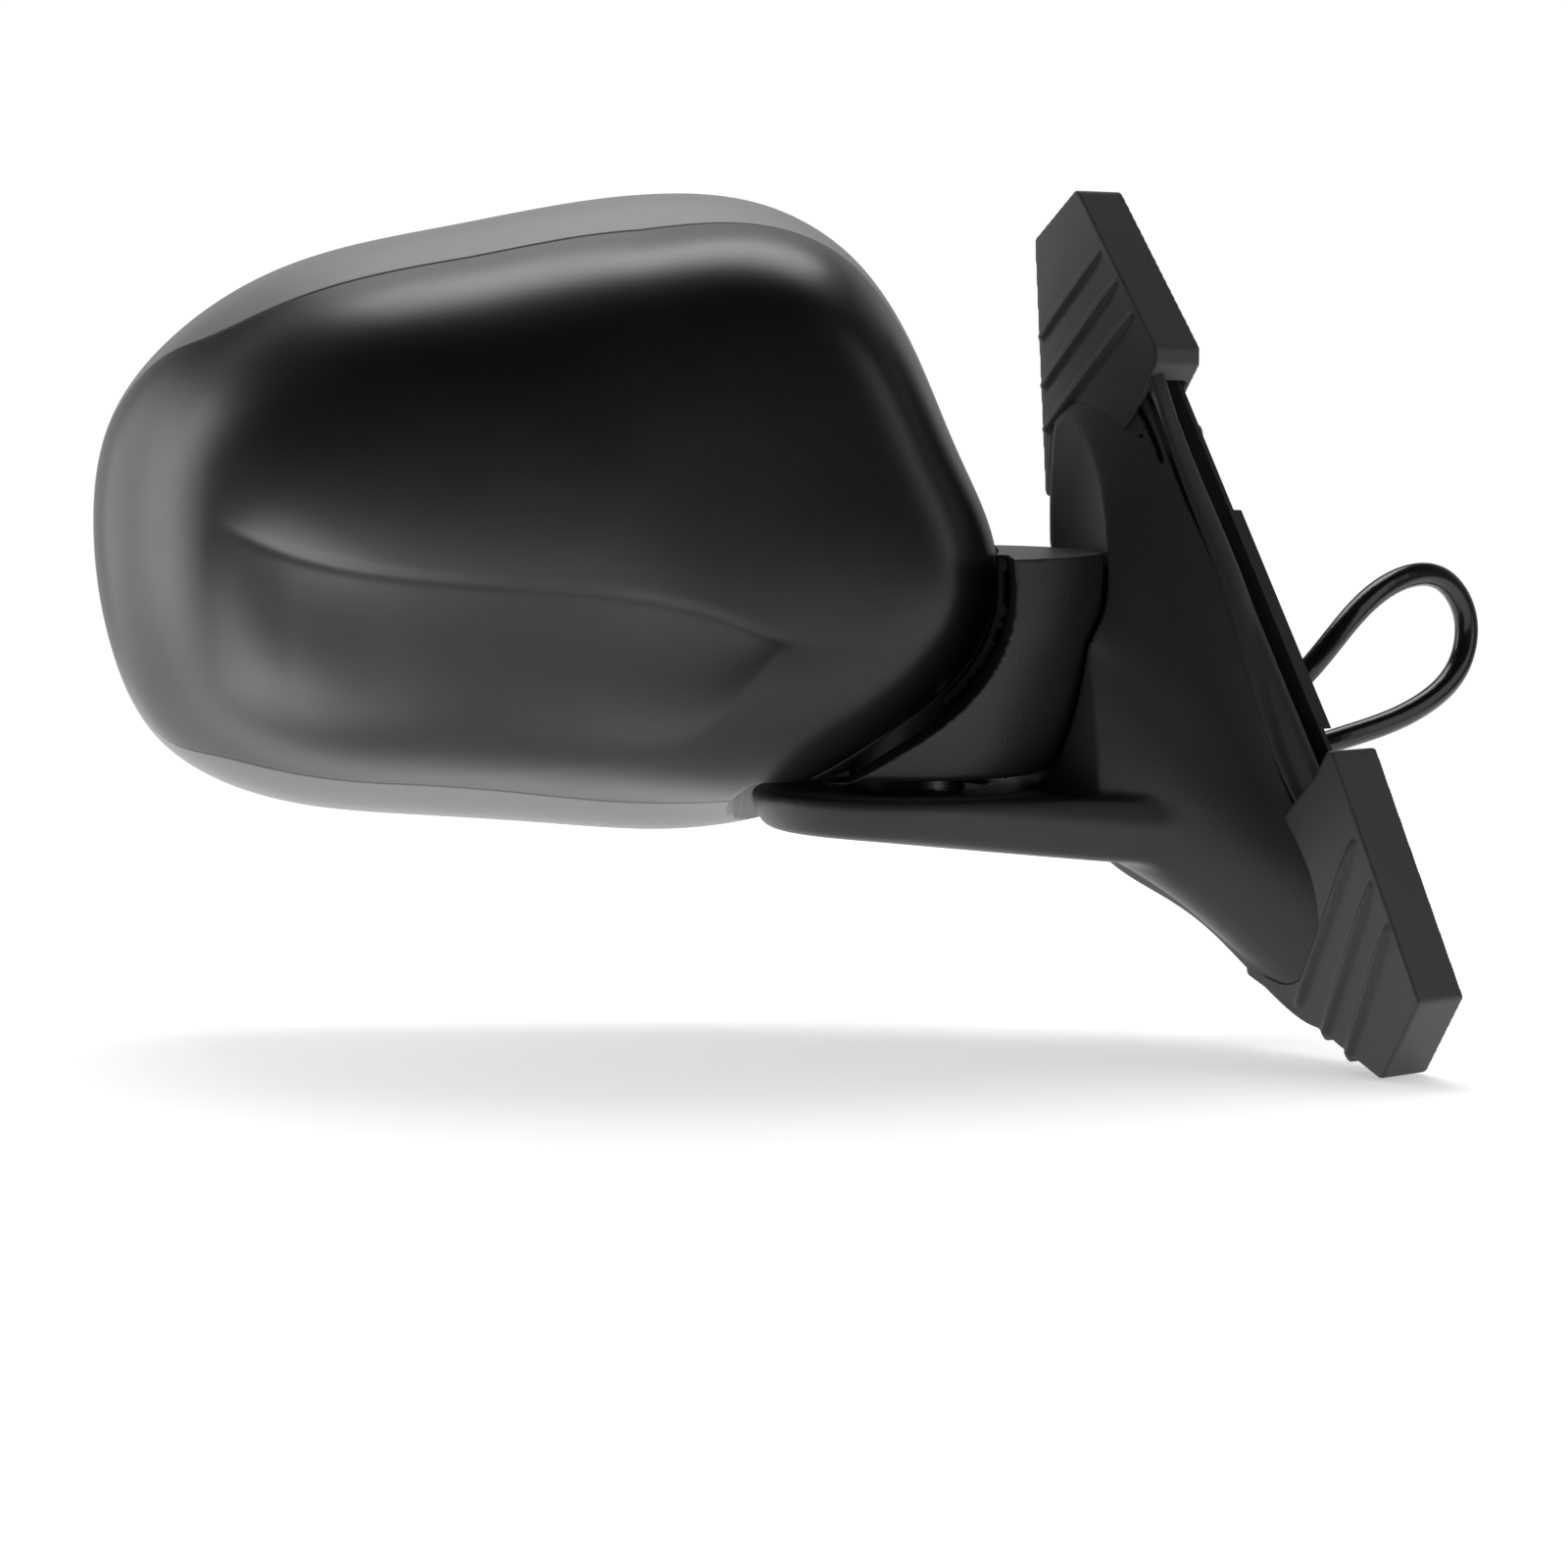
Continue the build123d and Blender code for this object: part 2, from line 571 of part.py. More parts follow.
# Stiffening rings on the back of the holder and heater terminals, about the glass centre.
STIFFENERS = [(-62, 0), (62, 10), (-20, 44), (-30, -42), (34, 46), (30, -44)]
STIFFENER_R = 9.0
TERMINALS = [(44, 24), (44, 14)]

with BuildPart() as gimbal_ring:
    with BuildSketch(about_glass(GIMBAL_V + RING_T / 2)):
        Circle(RING_R)
        Circle(RING_BORE_R, mode=Mode.SUBTRACT)
    extrude(amount=RING_T)
    for plane in (
        top_plane(GLASS_W - PIN_END, GLASS_U, GIMBAL_V),
        top_plane(GLASS_W + PIN_ROOT, GLASS_U, GIMBAL_V),
        side_plane(GLASS_U - PIN_END, GIMBAL_V, GLASS_W),
        side_plane(GLASS_U + PIN_ROOT, GIMBAL_V, GLASS_W),
    ):
        with BuildSketch(plane):
            Circle(PIN_R)
        extrude(amount=PIN_END - PIN_ROOT)
finish(gimbal_ring.part, "gimbal_ring")

with BuildPart() as glass_holder:
    with BuildSketch(front_plane(GLASS_FACE_V - 0.4)):
        with BuildLine():
            Spline(*rim_about_glass(HOLDER_SCALE), periodic=True)
        make_face()
    extrude(amount=GLASS_FACE_V - 0.4 - HOLDER_V)
    with BuildSketch(front_plane(GLASS_FACE_V)):
        with BuildLine():
            Spline(*rim_about_glass(GLASS_SCALE), periodic=True)
        make_face()
    extrude(amount=GLASS_FACE_V - PAD_V, mode=Mode.SUBTRACT)
    with BuildSketch(about_glass(HOLDER_V)):
        with Locations((EAR_AT, 0), (-EAR_AT, 0)):
            Rectangle(EAR_T, EAR_WIDTH)
    extrude(amount=HOLDER_V - GIMBAL_V + 3)
    with BuildSketch(about_glass(HOLDER_V)):
        with Locations((JACK_ARM, 0), (0, -JACK_ARM)):
            Circle(CUP_R)
            Circle(CUP_BORE_R, mode=Mode.SUBTRACT)
    extrude(amount=HOLDER_V - CUP_LIP_V)
    for a, b in STIFFENERS:
        with BuildSketch(about_glass(HOLDER_V, a, b)):
            Circle(STIFFENER_R)
            Circle(STIFFENER_R - 1.4, mode=Mode.SUBTRACT)
        extrude(amount=2.5)
    with BuildSketch(side_plane(GLASS_U - 20, GIMBAL_V, GLASS_W)):
        Circle(PIN_R + RUNNING)
    extrude(amount=40, mode=Mode.SUBTRACT)
    with BuildSketch(about_glass(PAD_V)):
        with Locations(*TERMINALS):
            Rectangle(3, 6)
    extrude(amount=PAD_V - HOLDER_V, mode=Mode.SUBTRACT)
finish(glass_holder.part, "glass_holder")

with BuildPart() as heater_pad:
    with BuildSketch(front_plane(GLASS_V)):
        with BuildLine():
            Spline(*rim_about_glass(GLASS_SCALE - 0.01), periodic=True)
        make_face()
    extrude(amount=GLASS_V - PAD_V)
finish(heater_pad.part, "heater_pad")

with BuildPart() as mirror_glass:
    with BuildSketch(front_plane(GLASS_FACE_V)):
        with BuildLine():
            Spline(*rim_about_glass(GLASS_SCALE), periodic=True)
        make_face()
    extrude(amount=GLASS_FACE_V - GLASS_V)
finish(mirror_glass.part, "mirror_glass")

with BuildPart() as heater_terminals:
    with BuildSketch(about_glass(PAD_V)):
        with Locations(*TERMINALS):
            Rectangle(0.8, 4.8)
    extrude(amount=9)
finish(heater_terminals.part, "heater_terminals")

with BuildPart() as head_wires:
    with BuildLine() as wire_path:
        Spline(
            head_point(0, 0, 31.2), head_point(-3, 1, 40), head_point(-16, 3, 50), head_point(-36, 6, 50),
            head_point(-53.8, 8, 46),
            tangents=[(0, 0, 1), U_DIR * -1],
        )
    with BuildSketch(Plane(origin=wire_path.line @ 0, z_dir=wire_path.line % 0)):
        Circle(2.4)
    sweep()
finish(head_wires.part, "head_wires")

# ---------------------------------------------------------------- pivot hardware on the base
with BuildPart() as pivot_shaft:
    with BuildSketch(top_plane(FLANGE_BOTTOM)):
        Circle(FOOT_R)
    extrude(amount=FLANGE_TOP - FLANGE_BOTTOM)
    with BuildSketch(top_plane(FLANGE_BOTTOM)):
        Circle(SHAFT_R)
    extrude(amount=SHAFT_TOP - FLANGE_BOTTOM)
    with BuildSketch(top_plane(FLANGE_BOTTOM)):
        Circle(SHAFT_BORE_R)
    extrude(amount=SHAFT_TOP - FLANGE_BOTTOM, mode=Mode.SUBTRACT)
    with BuildSketch(top_plane(FLANGE_BOTTOM)):
        with PolarLocations(SCREW_RING_R, 3, start_angle=60):
            Circle(PIVOT_SCREW_R)
    extrude(amount=FLANGE_TOP - FLANGE_BOTTOM, mode=Mode.SUBTRACT)
finish(pivot_shaft.part, "pivot_shaft")

with BuildPart() as detent_ring:
    with BuildSketch(top_plane(FLANGE_TOP)):
        Circle(DETENT_R)
        Circle(SHAFT_R, mode=Mode.SUBTRACT)
    extrude(amount=DETENT_TOP - FLANGE_TOP)
    for turn in range(0, 360, 60):
        with BuildSketch(Plane.XZ.rotated((0, 0, turn)).move(Location((PIVOT_X, 0, DETENT_TOP)))):
            Polygon((-2, 0.1), (2, 0.1), (0, -1.2), align=None)
        extrude(amount=20, mode=Mode.SUBTRACT)
finish(detent_ring.part, "detent_ring")

with BuildPart() as pivot_screws:
    with BuildSketch(top_plane(FLANGE_TOP)):
        with PolarLocations(SCREW_RING_R, 3, start_angle=60):
            Circle(PIVOT_HEAD_R)
    extrude(amount=PIVOT_HEAD_H)
    with BuildSketch(top_plane(FLANGE_TOP)):
        with PolarLocations(SCREW_RING_R, 3, start_angle=60):
            Circle(PIVOT_SCREW_R)
    extrude(amount=-PIVOT_SCREW_L)
finish(pivot_screws.part, "pivot_screws")

pivot_spring = spring_body(radius=12.0, wire=1.4, low=SPRING_LOW, high=SPRING_HIGH, turns=4.5)
finish(pivot_spring, "pivot_spring")

with BuildPart() as spring_retainer:
    with BuildSketch(top_plane(SPRING_HIGH)):
        Circle(DETENT_R)
        Circle(SHAFT_R, mode=Mode.SUBTRACT)
        with PolarLocations(11, 6):
            Rectangle(4.4, 1, mode=Mode.SUBTRACT)
    extrude(amount=1.6)
finish(spring_retainer.part, "spring_retainer")

# ---------------------------------------------------------------- base cover
ARM = [
    (-43.0, [(1, 34), (3, 25), (3, 5), (1, -16), (-6, -30), (-24, -35), (-42, -35.2), (-46, -28), (-46, -8),
             (-42, 12), (-30, 30), (-12, 35)]),
    (-30.0, [(3, 40), (4, 28), (4, 8), (2, -15), (-7, -33), (-36, -42), (-60, -43), (-64, -32), (-59, -10),
             (-48, 8), (-31, 26), (-12, 42)]),
    (-20.0, [(4, 52), (5, 32), (4, 10), (2, -15), (-8, -35), (-45, -50), (-78, -56), (-82, -45), (-70, -18),
             (-53, 10), (-35, 32), (-13, 54)]),
    (RIM_OUT, [(3, 95), (4, 60), (3, 20), (1, -20), (-8, -40), (-55, -60), (-103, -76), (-107, -63), (-86, -22),
               (-63, 28), (-40, 64), (-13, 98)]),
]


def pulled_in(points, inset):
    """Outline points moved towards their centre by inset."""
    cy = sum(p[0] for p in points) / len(points)
    cz = sum(p[1] for p in points) / len(points)
    out = []
    for y, z in points:
        reach = sqrt((y - cy) ** 2 + (z - cz) ** 2)
        k = 1 - inset / reach
        out.append((cy + (y - cy) * k, cz + (z - cz) * k))
    return out


def arm_form(inset, shifts=(0, 0, 0, 0)):
    """Flared arm of the base lofted towards the door, pulled in by inset, its sections moved along X by shifts."""
    with BuildPart() as arm:
        for (x, points), shift in zip(ARM, shifts):
            with BuildSketch(Plane.YZ.offset(x + shift)):
                with BuildLine():
                    Spline(*pulled_in(points, inset), periodic=True)
                make_face()
        loft()
    return arm.part


def turned(points):
    """Solid turned about the fold axis from straight-sided (radius, w) points."""
    with BuildPart() as disc:
        with BuildSketch(side_plane(0)):
            with BuildLine():
                Polyline(*points, points[0])
            make_face()
        revolve(axis=FOLD_AXIS)
    return disc.part


collar_side = [(r + SEAM, w) for r, w in NECK_SIDE]
collar_room = barrel(collar_side, SHELF_TOP, 125)
core_side = [(r + SEAM + WALL, w) for r, w in NECK_SIDE]
core_room = barrel(core_side, SHELF_TOP - WALL, 125)
shelf = turned([(0, SHELF_TOP), (35, SHELF_TOP), (38, -26.5), (40.5, -31), (40.5, SHELF_BOTTOM), (0, SHELF_BOTTOM)])
shelf_core = turned([(0, -26.6), (34, -26.6), (37, -33.7), (0, -33.7)])
arm_core = arm_form(3.0, (3, 0, 0, 0.6))

with BuildPart() as rim_slab:
    with BuildSketch(Plane.YZ.offset(RIM_OUT)):
        with BuildLine():
            FilletPolyline(*FLANGE, radius=FLANGE_CORNER_R, close=True)
        make_face()
    extrude(amount=RIM_IN - RIM_OUT)
    chamfer(rim_slab.faces().sort_by(Axis.X)[0].edges(), 1.2)

with BuildPart() as core_throat:
    with BuildSketch(Plane.YZ.offset(RIM_OUT - 0.5)):
        with BuildLine():
            Spline(*pulled_in(ARM[-1][1], 3.4), periodic=True)
        make_face()
    extrude(amount=RIM_IN - RIM_OUT + 1)

cover_core = (arm_core - core_room) + shelf_core
cover_skin = (arm_form(0, (0, 0, 0, 0.5)) - collar_room) + shelf

with BuildPart() as base_cover:
    add(cover_skin)
    add(cover_core, mode=Mode.SUBTRACT)
    add(rim_slab.part - core_throat.part)
    with BuildSketch(top_plane(SHELF_TOP - 4)):
        Circle(FOOT_R + HUB_CLEAR)
    extrude(amount=5, mode=Mode.SUBTRACT)
    with BuildSketch(Plane.YZ.offset(RIM_IN)):
        with Locations(*COVER_SCREWS):
            Circle(SCREW_R)
    extrude(amount=-2, mode=Mode.SUBTRACT)
finish(base_cover.part, "base_cover")

# ---------------------------------------------------------------- base bracket
HARNESS_FLAT_W = -30.0
BRACKET_BOTTOM, BRACKET_R = -31.9, 32.0
BRACKET_RIBS = (-26, -18)

with BuildPart() as base_bracket:
    with BuildSketch(top_plane(BRACKET_BOTTOM)):
        Circle(BRACKET_R)
    extrude(amount=FLANGE_BOTTOM - BRACKET_BOTTOM)
    with BuildSketch(Plane.XY.offset(BRACKET_BOTTOM)):
        Polygon((-39.5, -12), (-8, -12), (-8, -38), (-28, -38), (-39.5, -27), align=None)
    extrude(amount=FLANGE_BOTTOM - BRACKET_BOTTOM)
    for y in BRACKET_RIBS:
        with BuildSketch(Plane.XZ.offset(-y - 2)):
            with BuildLine():
                Polyline((-26, FLANGE_BOTTOM - 1), (-8, FLANGE_BOTTOM - 1), (-8, 14), (-13, 14),
                         (-26, FLANGE_BOTTOM - 1))
            make_face()
        extrude(amount=4)
    with BuildSketch(Plane.YZ.offset(PLATE_IN)):
        with BuildLine():
            FilletPolyline(*FLANGE, radius=FLANGE_CORNER_R, close=True)
        make_face()
        offset(amount=-5.5, mode=Mode.REPLACE)
    extrude(amount=PLATE_OUT - PLATE_IN)
    with BuildSketch(Plane.YZ.offset(PLATE_IN)):
        with Locations(*STUDS):
            Circle(STUD_NECK_R)
        with Locations(EXIT):
            Circle(EXIT_R)
        with Locations(*COVER_SCREWS):
            Circle(SCREW_R)
    extrude(amount=2 * (PLATE_OUT - PLATE_IN), mode=Mode.SUBTRACT)
    with BuildSketch(top_plane(FLANGE_BOTTOM)):
        with PolarLocations(SCREW_RING_R, 3, start_angle=60):
            Circle(PIVOT_SCREW_R)
    extrude(amount=-6, mode=Mode.SUBTRACT)
    with BuildSketch(Plane.XY.offset(FLANGE_BOTTOM)):
        with BuildLine():
            Polyline((PIVOT_X - 4, 3), (PIVOT_X + 2, 5), (-14, -33), (-14, -47), (-26, -41), (PIVOT_X - 4, -2),
                     (PIVOT_X - 4, 3))
        make_face()
    extrude(amount=-6, mode=Mode.SUBTRACT)
finish(base_bracket.part, "base_bracket")

with BuildPart() as cover_screws:
    with BuildSketch(Plane.YZ.offset(PLATE_IN)):
        with Locations(*COVER_SCREWS):
            Circle(SCREW_HEAD_R)
    extrude(amount=COVER_HEAD_H)
    with BuildSketch(Plane.YZ.offset(PLATE_IN)):
        with Locations(*COVER_SCREWS):
            Circle(SCREW_R)
    extrude(amount=-COVER_SCREW_L)
finish(cover_screws.part, "cover_screws")

with BuildPart() as mount_studs:
    with BuildSketch(Plane.YZ.offset(PLATE_OUT)):
        with Locations(*STUDS):
            RegularPolygon(STUD_HEX_R, 6)
    extrude(amount=-STUD_HEX_H)
    with BuildSketch(Plane.YZ.offset(PLATE_OUT)):
        with Locations(*STUDS):
            Circle(STUD_NECK_R)
    extrude(amount=STUD_NECK_END - PLATE_OUT)
    with BuildSketch(Plane.YZ.offset(STUD_NECK_END)):
        with Locations(*STUDS):
            Circle(STUD_R)
    extrude(amount=STUD_OUT - STUD_NECK_END)
    chamfer(mount_studs.faces().filter_by(Plane.YZ).group_by(Axis.X)[-1].edges(), 0.8)
finish(mount_studs.part, "mount_studs")

with BuildPart() as mount_gasket:
    with BuildSketch(Plane.YZ.offset(PLATE_IN)):
        with BuildLine():
            FilletPolyline(*FLANGE, radius=FLANGE_CORNER_R, close=True)
        make_face()
        offset(amount=-1, mode=Mode.REPLACE)
    extrude(amount=PAD_BACK - PLATE_IN)
    with BuildSketch(Plane.YZ.offset(PAD_BACK)):
        with BuildLine():
            FilletPolyline(*FLANGE, radius=FLANGE_CORNER_R, close=True)
        make_face()
        offset(amount=-1, mode=Mode.REPLACE)
        with Locations((-60, 18)):
            Rectangle(140, 52, mode=Mode.INTERSECT)
    extrude(amount=-PAD_BACK)
    with BuildSketch(Plane.YZ.offset(PLATE_IN)):
        with Locations(*STUDS):
            Circle(STUD_NECK_R + 0.2)
        with Locations(EXIT):
            Circle(EXIT_R)
        with Locations(*COVER_SCREWS):
            Circle(SCREW_HEAD_R + 0.3)
    extrude(amount=-PLATE_IN, mode=Mode.SUBTRACT)
finish(mount_gasket.part, "mount_gasket")

# ---------------------------------------------------------------- harness
with BuildPart() as wire_harness:
    with BuildSketch(top_plane(FLANGE_BOTTOM - 0.4)):
        Circle(2.6)
    extrude(amount=SHAFT_TOP + 0.5 - FLANGE_BOTTOM + 0.4)
    with BuildLine() as lead_path:
        Spline(
            (PIVOT_X, 0, HARNESS_FLAT_W), (-47, -14, HARNESS_FLAT_W), (-38, -22, HARNESS_FLAT_W), (-27, -31, -27),
            (-14, EXIT[0], EXIT[1]),
            (6, EXIT[0], EXIT[1]), (16, -45, -6), (24, -52, 5), (36, -55, 18), (51, -55, 25.5), (66, -55, 25),
            (75, -55, 14), (73, -55, 3), (62, -55, -6), (46, -53, -12), (28, -48, -17), (16, -42, -24),
            (14, -40, -33),
            tangents=[(1, -0.75, 0), (0, 0, -1)],
        )
    with BuildSketch(Plane(origin=lead_path.line @ 0, z_dir=lead_path.line % 0)):
        Circle(HARNESS_R)
    sweep(path=lead_path.line)
finish(wire_harness.part, "wire_harness")

with BuildPart() as harness_grommet:
    with BuildSketch(Plane.YZ.offset(PLATE_OUT)):
        with Locations(EXIT):
            Circle(EXIT_R)
            Circle(HARNESS_R + 0.9, mode=Mode.SUBTRACT)
    extrude(amount=-PLATE_OUT - 1)
finish(harness_grommet.part, "harness_grommet")

PLUG_AT = (14.0, -40.0)
PLUG_TOP, PLUG_LENGTH, PLUG_SOCKET = -33.0, 18.0, 10.0
PLUG_X, PLUG_Y, PLUG_WALL = 14.0, 22.0, 2.0

with BuildPart() as harness_connector:
    with BuildSketch(Plane.XY.offset(PLUG_TOP)):
        with Locations(PLUG_AT):
            RectangleRounded(PLUG_X, PLUG_Y, PLUG_WALL)
    extrude(amount=-PLUG_LENGTH)
    with BuildSketch(Plane.XY.offset(PLUG_TOP - PLUG_LENGTH)):
        with Locations(PLUG_AT):
            Rectangle(PLUG_X - 2 * PLUG_WALL, PLUG_Y - 2 * PLUG_WALL)
    extrude(amount=PLUG_SOCKET, mode=Mode.SUBTRACT)
    with BuildSketch(Plane.XY.offset(PLUG_TOP - PLUG_LENGTH + PLUG_SOCKET)):
        with Locations(PLUG_AT):
            with GridLocations(0, 3.6, 1, 4):
                Rectangle(0.8, 1.8)
    extrude(amount=-7)
    with BuildSketch(Plane.XY.offset(PLUG_TOP - 3)):
        with Locations((PLUG_AT[0], PLUG_AT[1] - PLUG_Y / 2 - 1)):
            Rectangle(6, 2)
    extrude(amount=-9)
finish(harness_connector.part, "harness_connector")

# ---------------------------------------------------------------- corner protectors
UPPER = [(12.6, 112), (-4, 124.5), (-35, 84), (-35, 80), (-22, 62), (-6, 46.2), (7.6, 46.3)]
LOWER = [(-98, -10), (-93, -18), (-82, -29), (-72, -52), (-70, -68.5), (-87, -75), (-117, -88), (-129, -68)]
UPPER_RIBS = [((7, 89.3), (-18, 112.2)), ((6, 76.8), (-25, 105.2)), ((5, 65.5), (-31, 96.9))]
LOWER_RIBS = [((-109, -27), (-90, -70)), ((-115, -36), (-99, -76)), ((-121, -44), (-107, -80))]
PROTECTOR_OUT = -15.0
PROTECTOR_BACK = -0.4
RIB_WIDTH, RIB_RISE, RIB_ROOT = 3.2, 1.6, 3.4
GUARD_CLEAR = 0.4


def protector(outline, ribs):
    """Soft ribbed corner guard pushed over one end of the flange."""
    with BuildPart() as guard:
        with BuildSketch(Plane.YZ.offset(PROTECTOR_BACK)):
            with BuildLine():
                FilletPolyline(*outline, radius=1.5, close=True)
            make_face()
        extrude(amount=PROTECTOR_OUT - PROTECTOR_BACK)
        for start, end in ribs:
            run = Vector(end[0] - start[0], end[1] - start[1])
            middle = ((start[0] + end[0]) / 2, (start[1] + end[1]) / 2)
            with BuildSketch(Plane.YZ.offset(PROTECTOR_OUT - RIB_RISE)):
                with Locations(middle):
                    SlotCenterToCenter(run.length, RIB_WIDTH, rotation=degrees(atan2(run.Y, run.X)))
            extrude(amount=RIB_RISE + RIB_ROOT)
        with BuildSketch(Plane.YZ.offset(RIM_OUT - GUARD_CLEAR)):
            with BuildLine():
                FilletPolyline(*FLANGE, radius=FLANGE_CORNER_R, close=True)
            make_face()
            offset(amount=GUARD_CLEAR, mode=Mode.REPLACE)
        extrude(amount=PAD_BACK - RIM_OUT + 2 * GUARD_CLEAR, mode=Mode.SUBTRACT)
        with BuildSketch(Plane.YZ.offset(PAD_BACK - 1)):
            with BuildLine():
                FilletPolyline(*FLANGE, radius=FLANGE_CORNER_R, close=True)
            make_face()
            offset(amount=-8, mode=Mode.REPLACE)
        extrude(amount=4, mode=Mode.SUBTRACT)
        add(cover_skin, mode=Mode.SUBTRACT)
    return guard.part


protector_upper = protector(UPPER, UPPER_RIBS)
protector_lower = protector(LOWER, LOWER_RIBS)
finish(protector_upper, "protector_upper")
finish(protector_lower, "protector_lower")
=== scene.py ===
import json
import math

import bmesh
import bpy
import numpy as np
from mathutils import Matrix, Vector


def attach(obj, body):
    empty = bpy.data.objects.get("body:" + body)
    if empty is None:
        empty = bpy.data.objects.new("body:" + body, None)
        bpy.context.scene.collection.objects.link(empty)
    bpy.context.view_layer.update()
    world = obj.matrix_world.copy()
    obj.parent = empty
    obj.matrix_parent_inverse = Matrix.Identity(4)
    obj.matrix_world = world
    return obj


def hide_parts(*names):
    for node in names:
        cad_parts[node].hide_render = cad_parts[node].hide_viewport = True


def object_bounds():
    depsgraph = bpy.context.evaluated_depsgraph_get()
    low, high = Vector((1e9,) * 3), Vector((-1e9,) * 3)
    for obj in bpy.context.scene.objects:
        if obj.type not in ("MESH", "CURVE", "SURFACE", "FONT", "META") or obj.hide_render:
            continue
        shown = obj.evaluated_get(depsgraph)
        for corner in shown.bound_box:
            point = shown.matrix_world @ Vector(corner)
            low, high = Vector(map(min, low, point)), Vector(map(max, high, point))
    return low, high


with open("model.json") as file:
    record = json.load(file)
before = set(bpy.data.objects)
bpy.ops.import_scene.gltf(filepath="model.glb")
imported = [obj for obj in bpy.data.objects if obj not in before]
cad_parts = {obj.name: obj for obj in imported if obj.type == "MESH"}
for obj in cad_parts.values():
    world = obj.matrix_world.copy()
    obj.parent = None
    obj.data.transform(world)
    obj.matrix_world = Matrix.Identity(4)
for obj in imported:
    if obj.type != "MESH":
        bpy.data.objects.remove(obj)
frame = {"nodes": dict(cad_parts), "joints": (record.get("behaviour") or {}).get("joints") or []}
CAD_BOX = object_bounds()

# ---------------------------------------------------------------- head axes, in millimetres
# u runs inboard along the head, v to its rear, w up; u = v = 0 is the fold axis.
MM = 0.001
SWEEP = math.radians(36.0)
FOLD = next(j for j in frame["joints"] if j["name"] == "fold")
PIVOT = np.array(FOLD["pos_m"]) / MM
U_DIR = np.array([math.cos(SWEEP), -math.sin(SWEEP), 0.0])
V_DIR = np.array([math.sin(SWEEP), math.cos(SWEEP), 0.0])
W_DIR = np.array([0.0, 0.0, 1.0])

# ---------------------------------------------------------------- sizes of the head, in millimetres
# Rear rim outline (u, w) with the fullness of the flank below each point, 0 soft and 1 steep.
RIM = np.array([
    (-211, 36, 0), (-206, 66, 0), (-190, 87, 0), (-160, 105.5, 0), (-117, 116, 0), (-62, 124, 0.05),
    (-38, 121.5, 0.4), (-17, 110.5, 0.8), (0, 88, 0.95), (13, 58, 1), (22, 36, 1), (23, 20, 1),
    (15, 0, 0.9), (-4, -19, 0.68), (-26, -33, 0.6), (-55, -40.5, 0.2), (-92, -39.5, 0.05), (-131, -37, 0),
    (-170, -31.5, 0), (-196, -16, 0), (-207, 7, 0),
])
DOME_CENTRE = np.array([-62.0, 48.0])
# Sections of the outer form as (v, scale of the rim where the flank is soft, scale where it is steep).
SECTIONS = [
    (42, 1.0, 1.0), (31, 0.982, 0.999), (20, 0.957, 0.996), (0, 0.862, 0.985), (-15, 0.79, 0.965),
    (-27, 0.70, 0.93), (-36, 0.57, 0.86), (-42, 0.38, 0.66), (-44.5, 0.17, 0.40),
]
NOSE_V = -45.0
# Line between cap and bezel as (u, v) at the lower and the upper of two heights.
PARTING_LOW = np.array([
    (-216, 37), (-203, 34), (-192, 25), (-178, 12), (-160, 4), (-135, 0), (-100, -1), (-62, -3),
    (-40, -14), (-18, -22), (8, -24), (45, -24),
])
PARTING_HIGH = np.array([
    (-216, 37), (-203, 34), (-192, 25), (-178, 12), (-160, 4), (-135, 0), (-100, -1), (-62, -1),
    (-40, 0), (-18, 2), (8, 4), (45, 6),
])
PARTING_HEIGHTS = (-70.0, 150.0)
WALL = 2.5
SHELL_GAP = 0.5  # between cap and bezel
EDGE_R = 0.55
RIM_EDGE_R = 1.6
OPENING_SCALE = 0.945
LIP_DEPTH = 10.0
GLASS_CENTRE = np.array([-95.0, 42.0])
LIP_SHARE, BAND_LEFT = 0.55, 1.5  # most of the band that the lip takes up, and least that is left past it
# Room for the base's shelf under the head: its height, radius, inboard end and the width of its step.
SHELF_ROOM, SHELF_ROOM_R, SHELF_ROOM_U, SHELF_STEP = -22.0, 43.0, -6.0, 2.5

# Crease across the face of the cap and the scooped leaf below it, as (u, w).
CREASE = np.array([
    (-167, 41), (-155, 36.3), (-124, 30), (-93, 27.4), (-63, 24.4), (-47, 20.5), (-33, 15.5), (-12, 12),
    (12, 12),
])
LEAF_LOW = np.array([
    (-182, -24), (-150, -24), (-118, -22), (-94, -19.5), (-71, -16.2), (-50, -8), (-33, 11),
])
LEAF_LEAST = 4.0  # least height of the leaf under the crease

SCOOP_DEPTH, SCOOP_LOST = 3.2, 0.8  # depth under the crease, and the share lost along it
ROLL_NEAR, ROLL_FAR, VALLEY_REACH = 7.5, 15.0, 11.0  # reach of the roll above the crease and of the valley
FACET, FACET_POWER = 0.32, 1.4  # how far the leaf is hollowed, and how fast that dies out below
CREASE_LINE, LINE_DROP, LINE_WIDTH = 0.35, 0.6, 1.3  # fine groove along the crease
# Stretches along u over which these grow or fade.
SCOOP_GROWS, SCOOP_EASES, SCOOP_FADES = (-174, -150), (-95, -35), (2, 16)
ROLL_GROWS, FACET_GROWS, LINE_GROWS, TIP_PASSED = (-160, -50), (-178, -125), (-172, -140), (-44, -26)

ROUND = 480  # columns round the head
BLUR = 26  # columns over which the flank changes from soft to steep at the front
BLUR_DEPTH = 36.0  # how far in front of the rim that change is fully blurred
PROFILE_POINTS = 500  # points of a fine profile
RISE = 150  # rows from the edge of the cap to its nose
BAND_ROWS, INNER_ROWS = 40, 30  # rows of the bezel's outer and inner faces
EDGE_TURNS = (30, 60, 90)  # turns, in degrees, of the rows that round an edge
SHARP = 35.0  # edges that turn more than this, in degrees, stay sharp


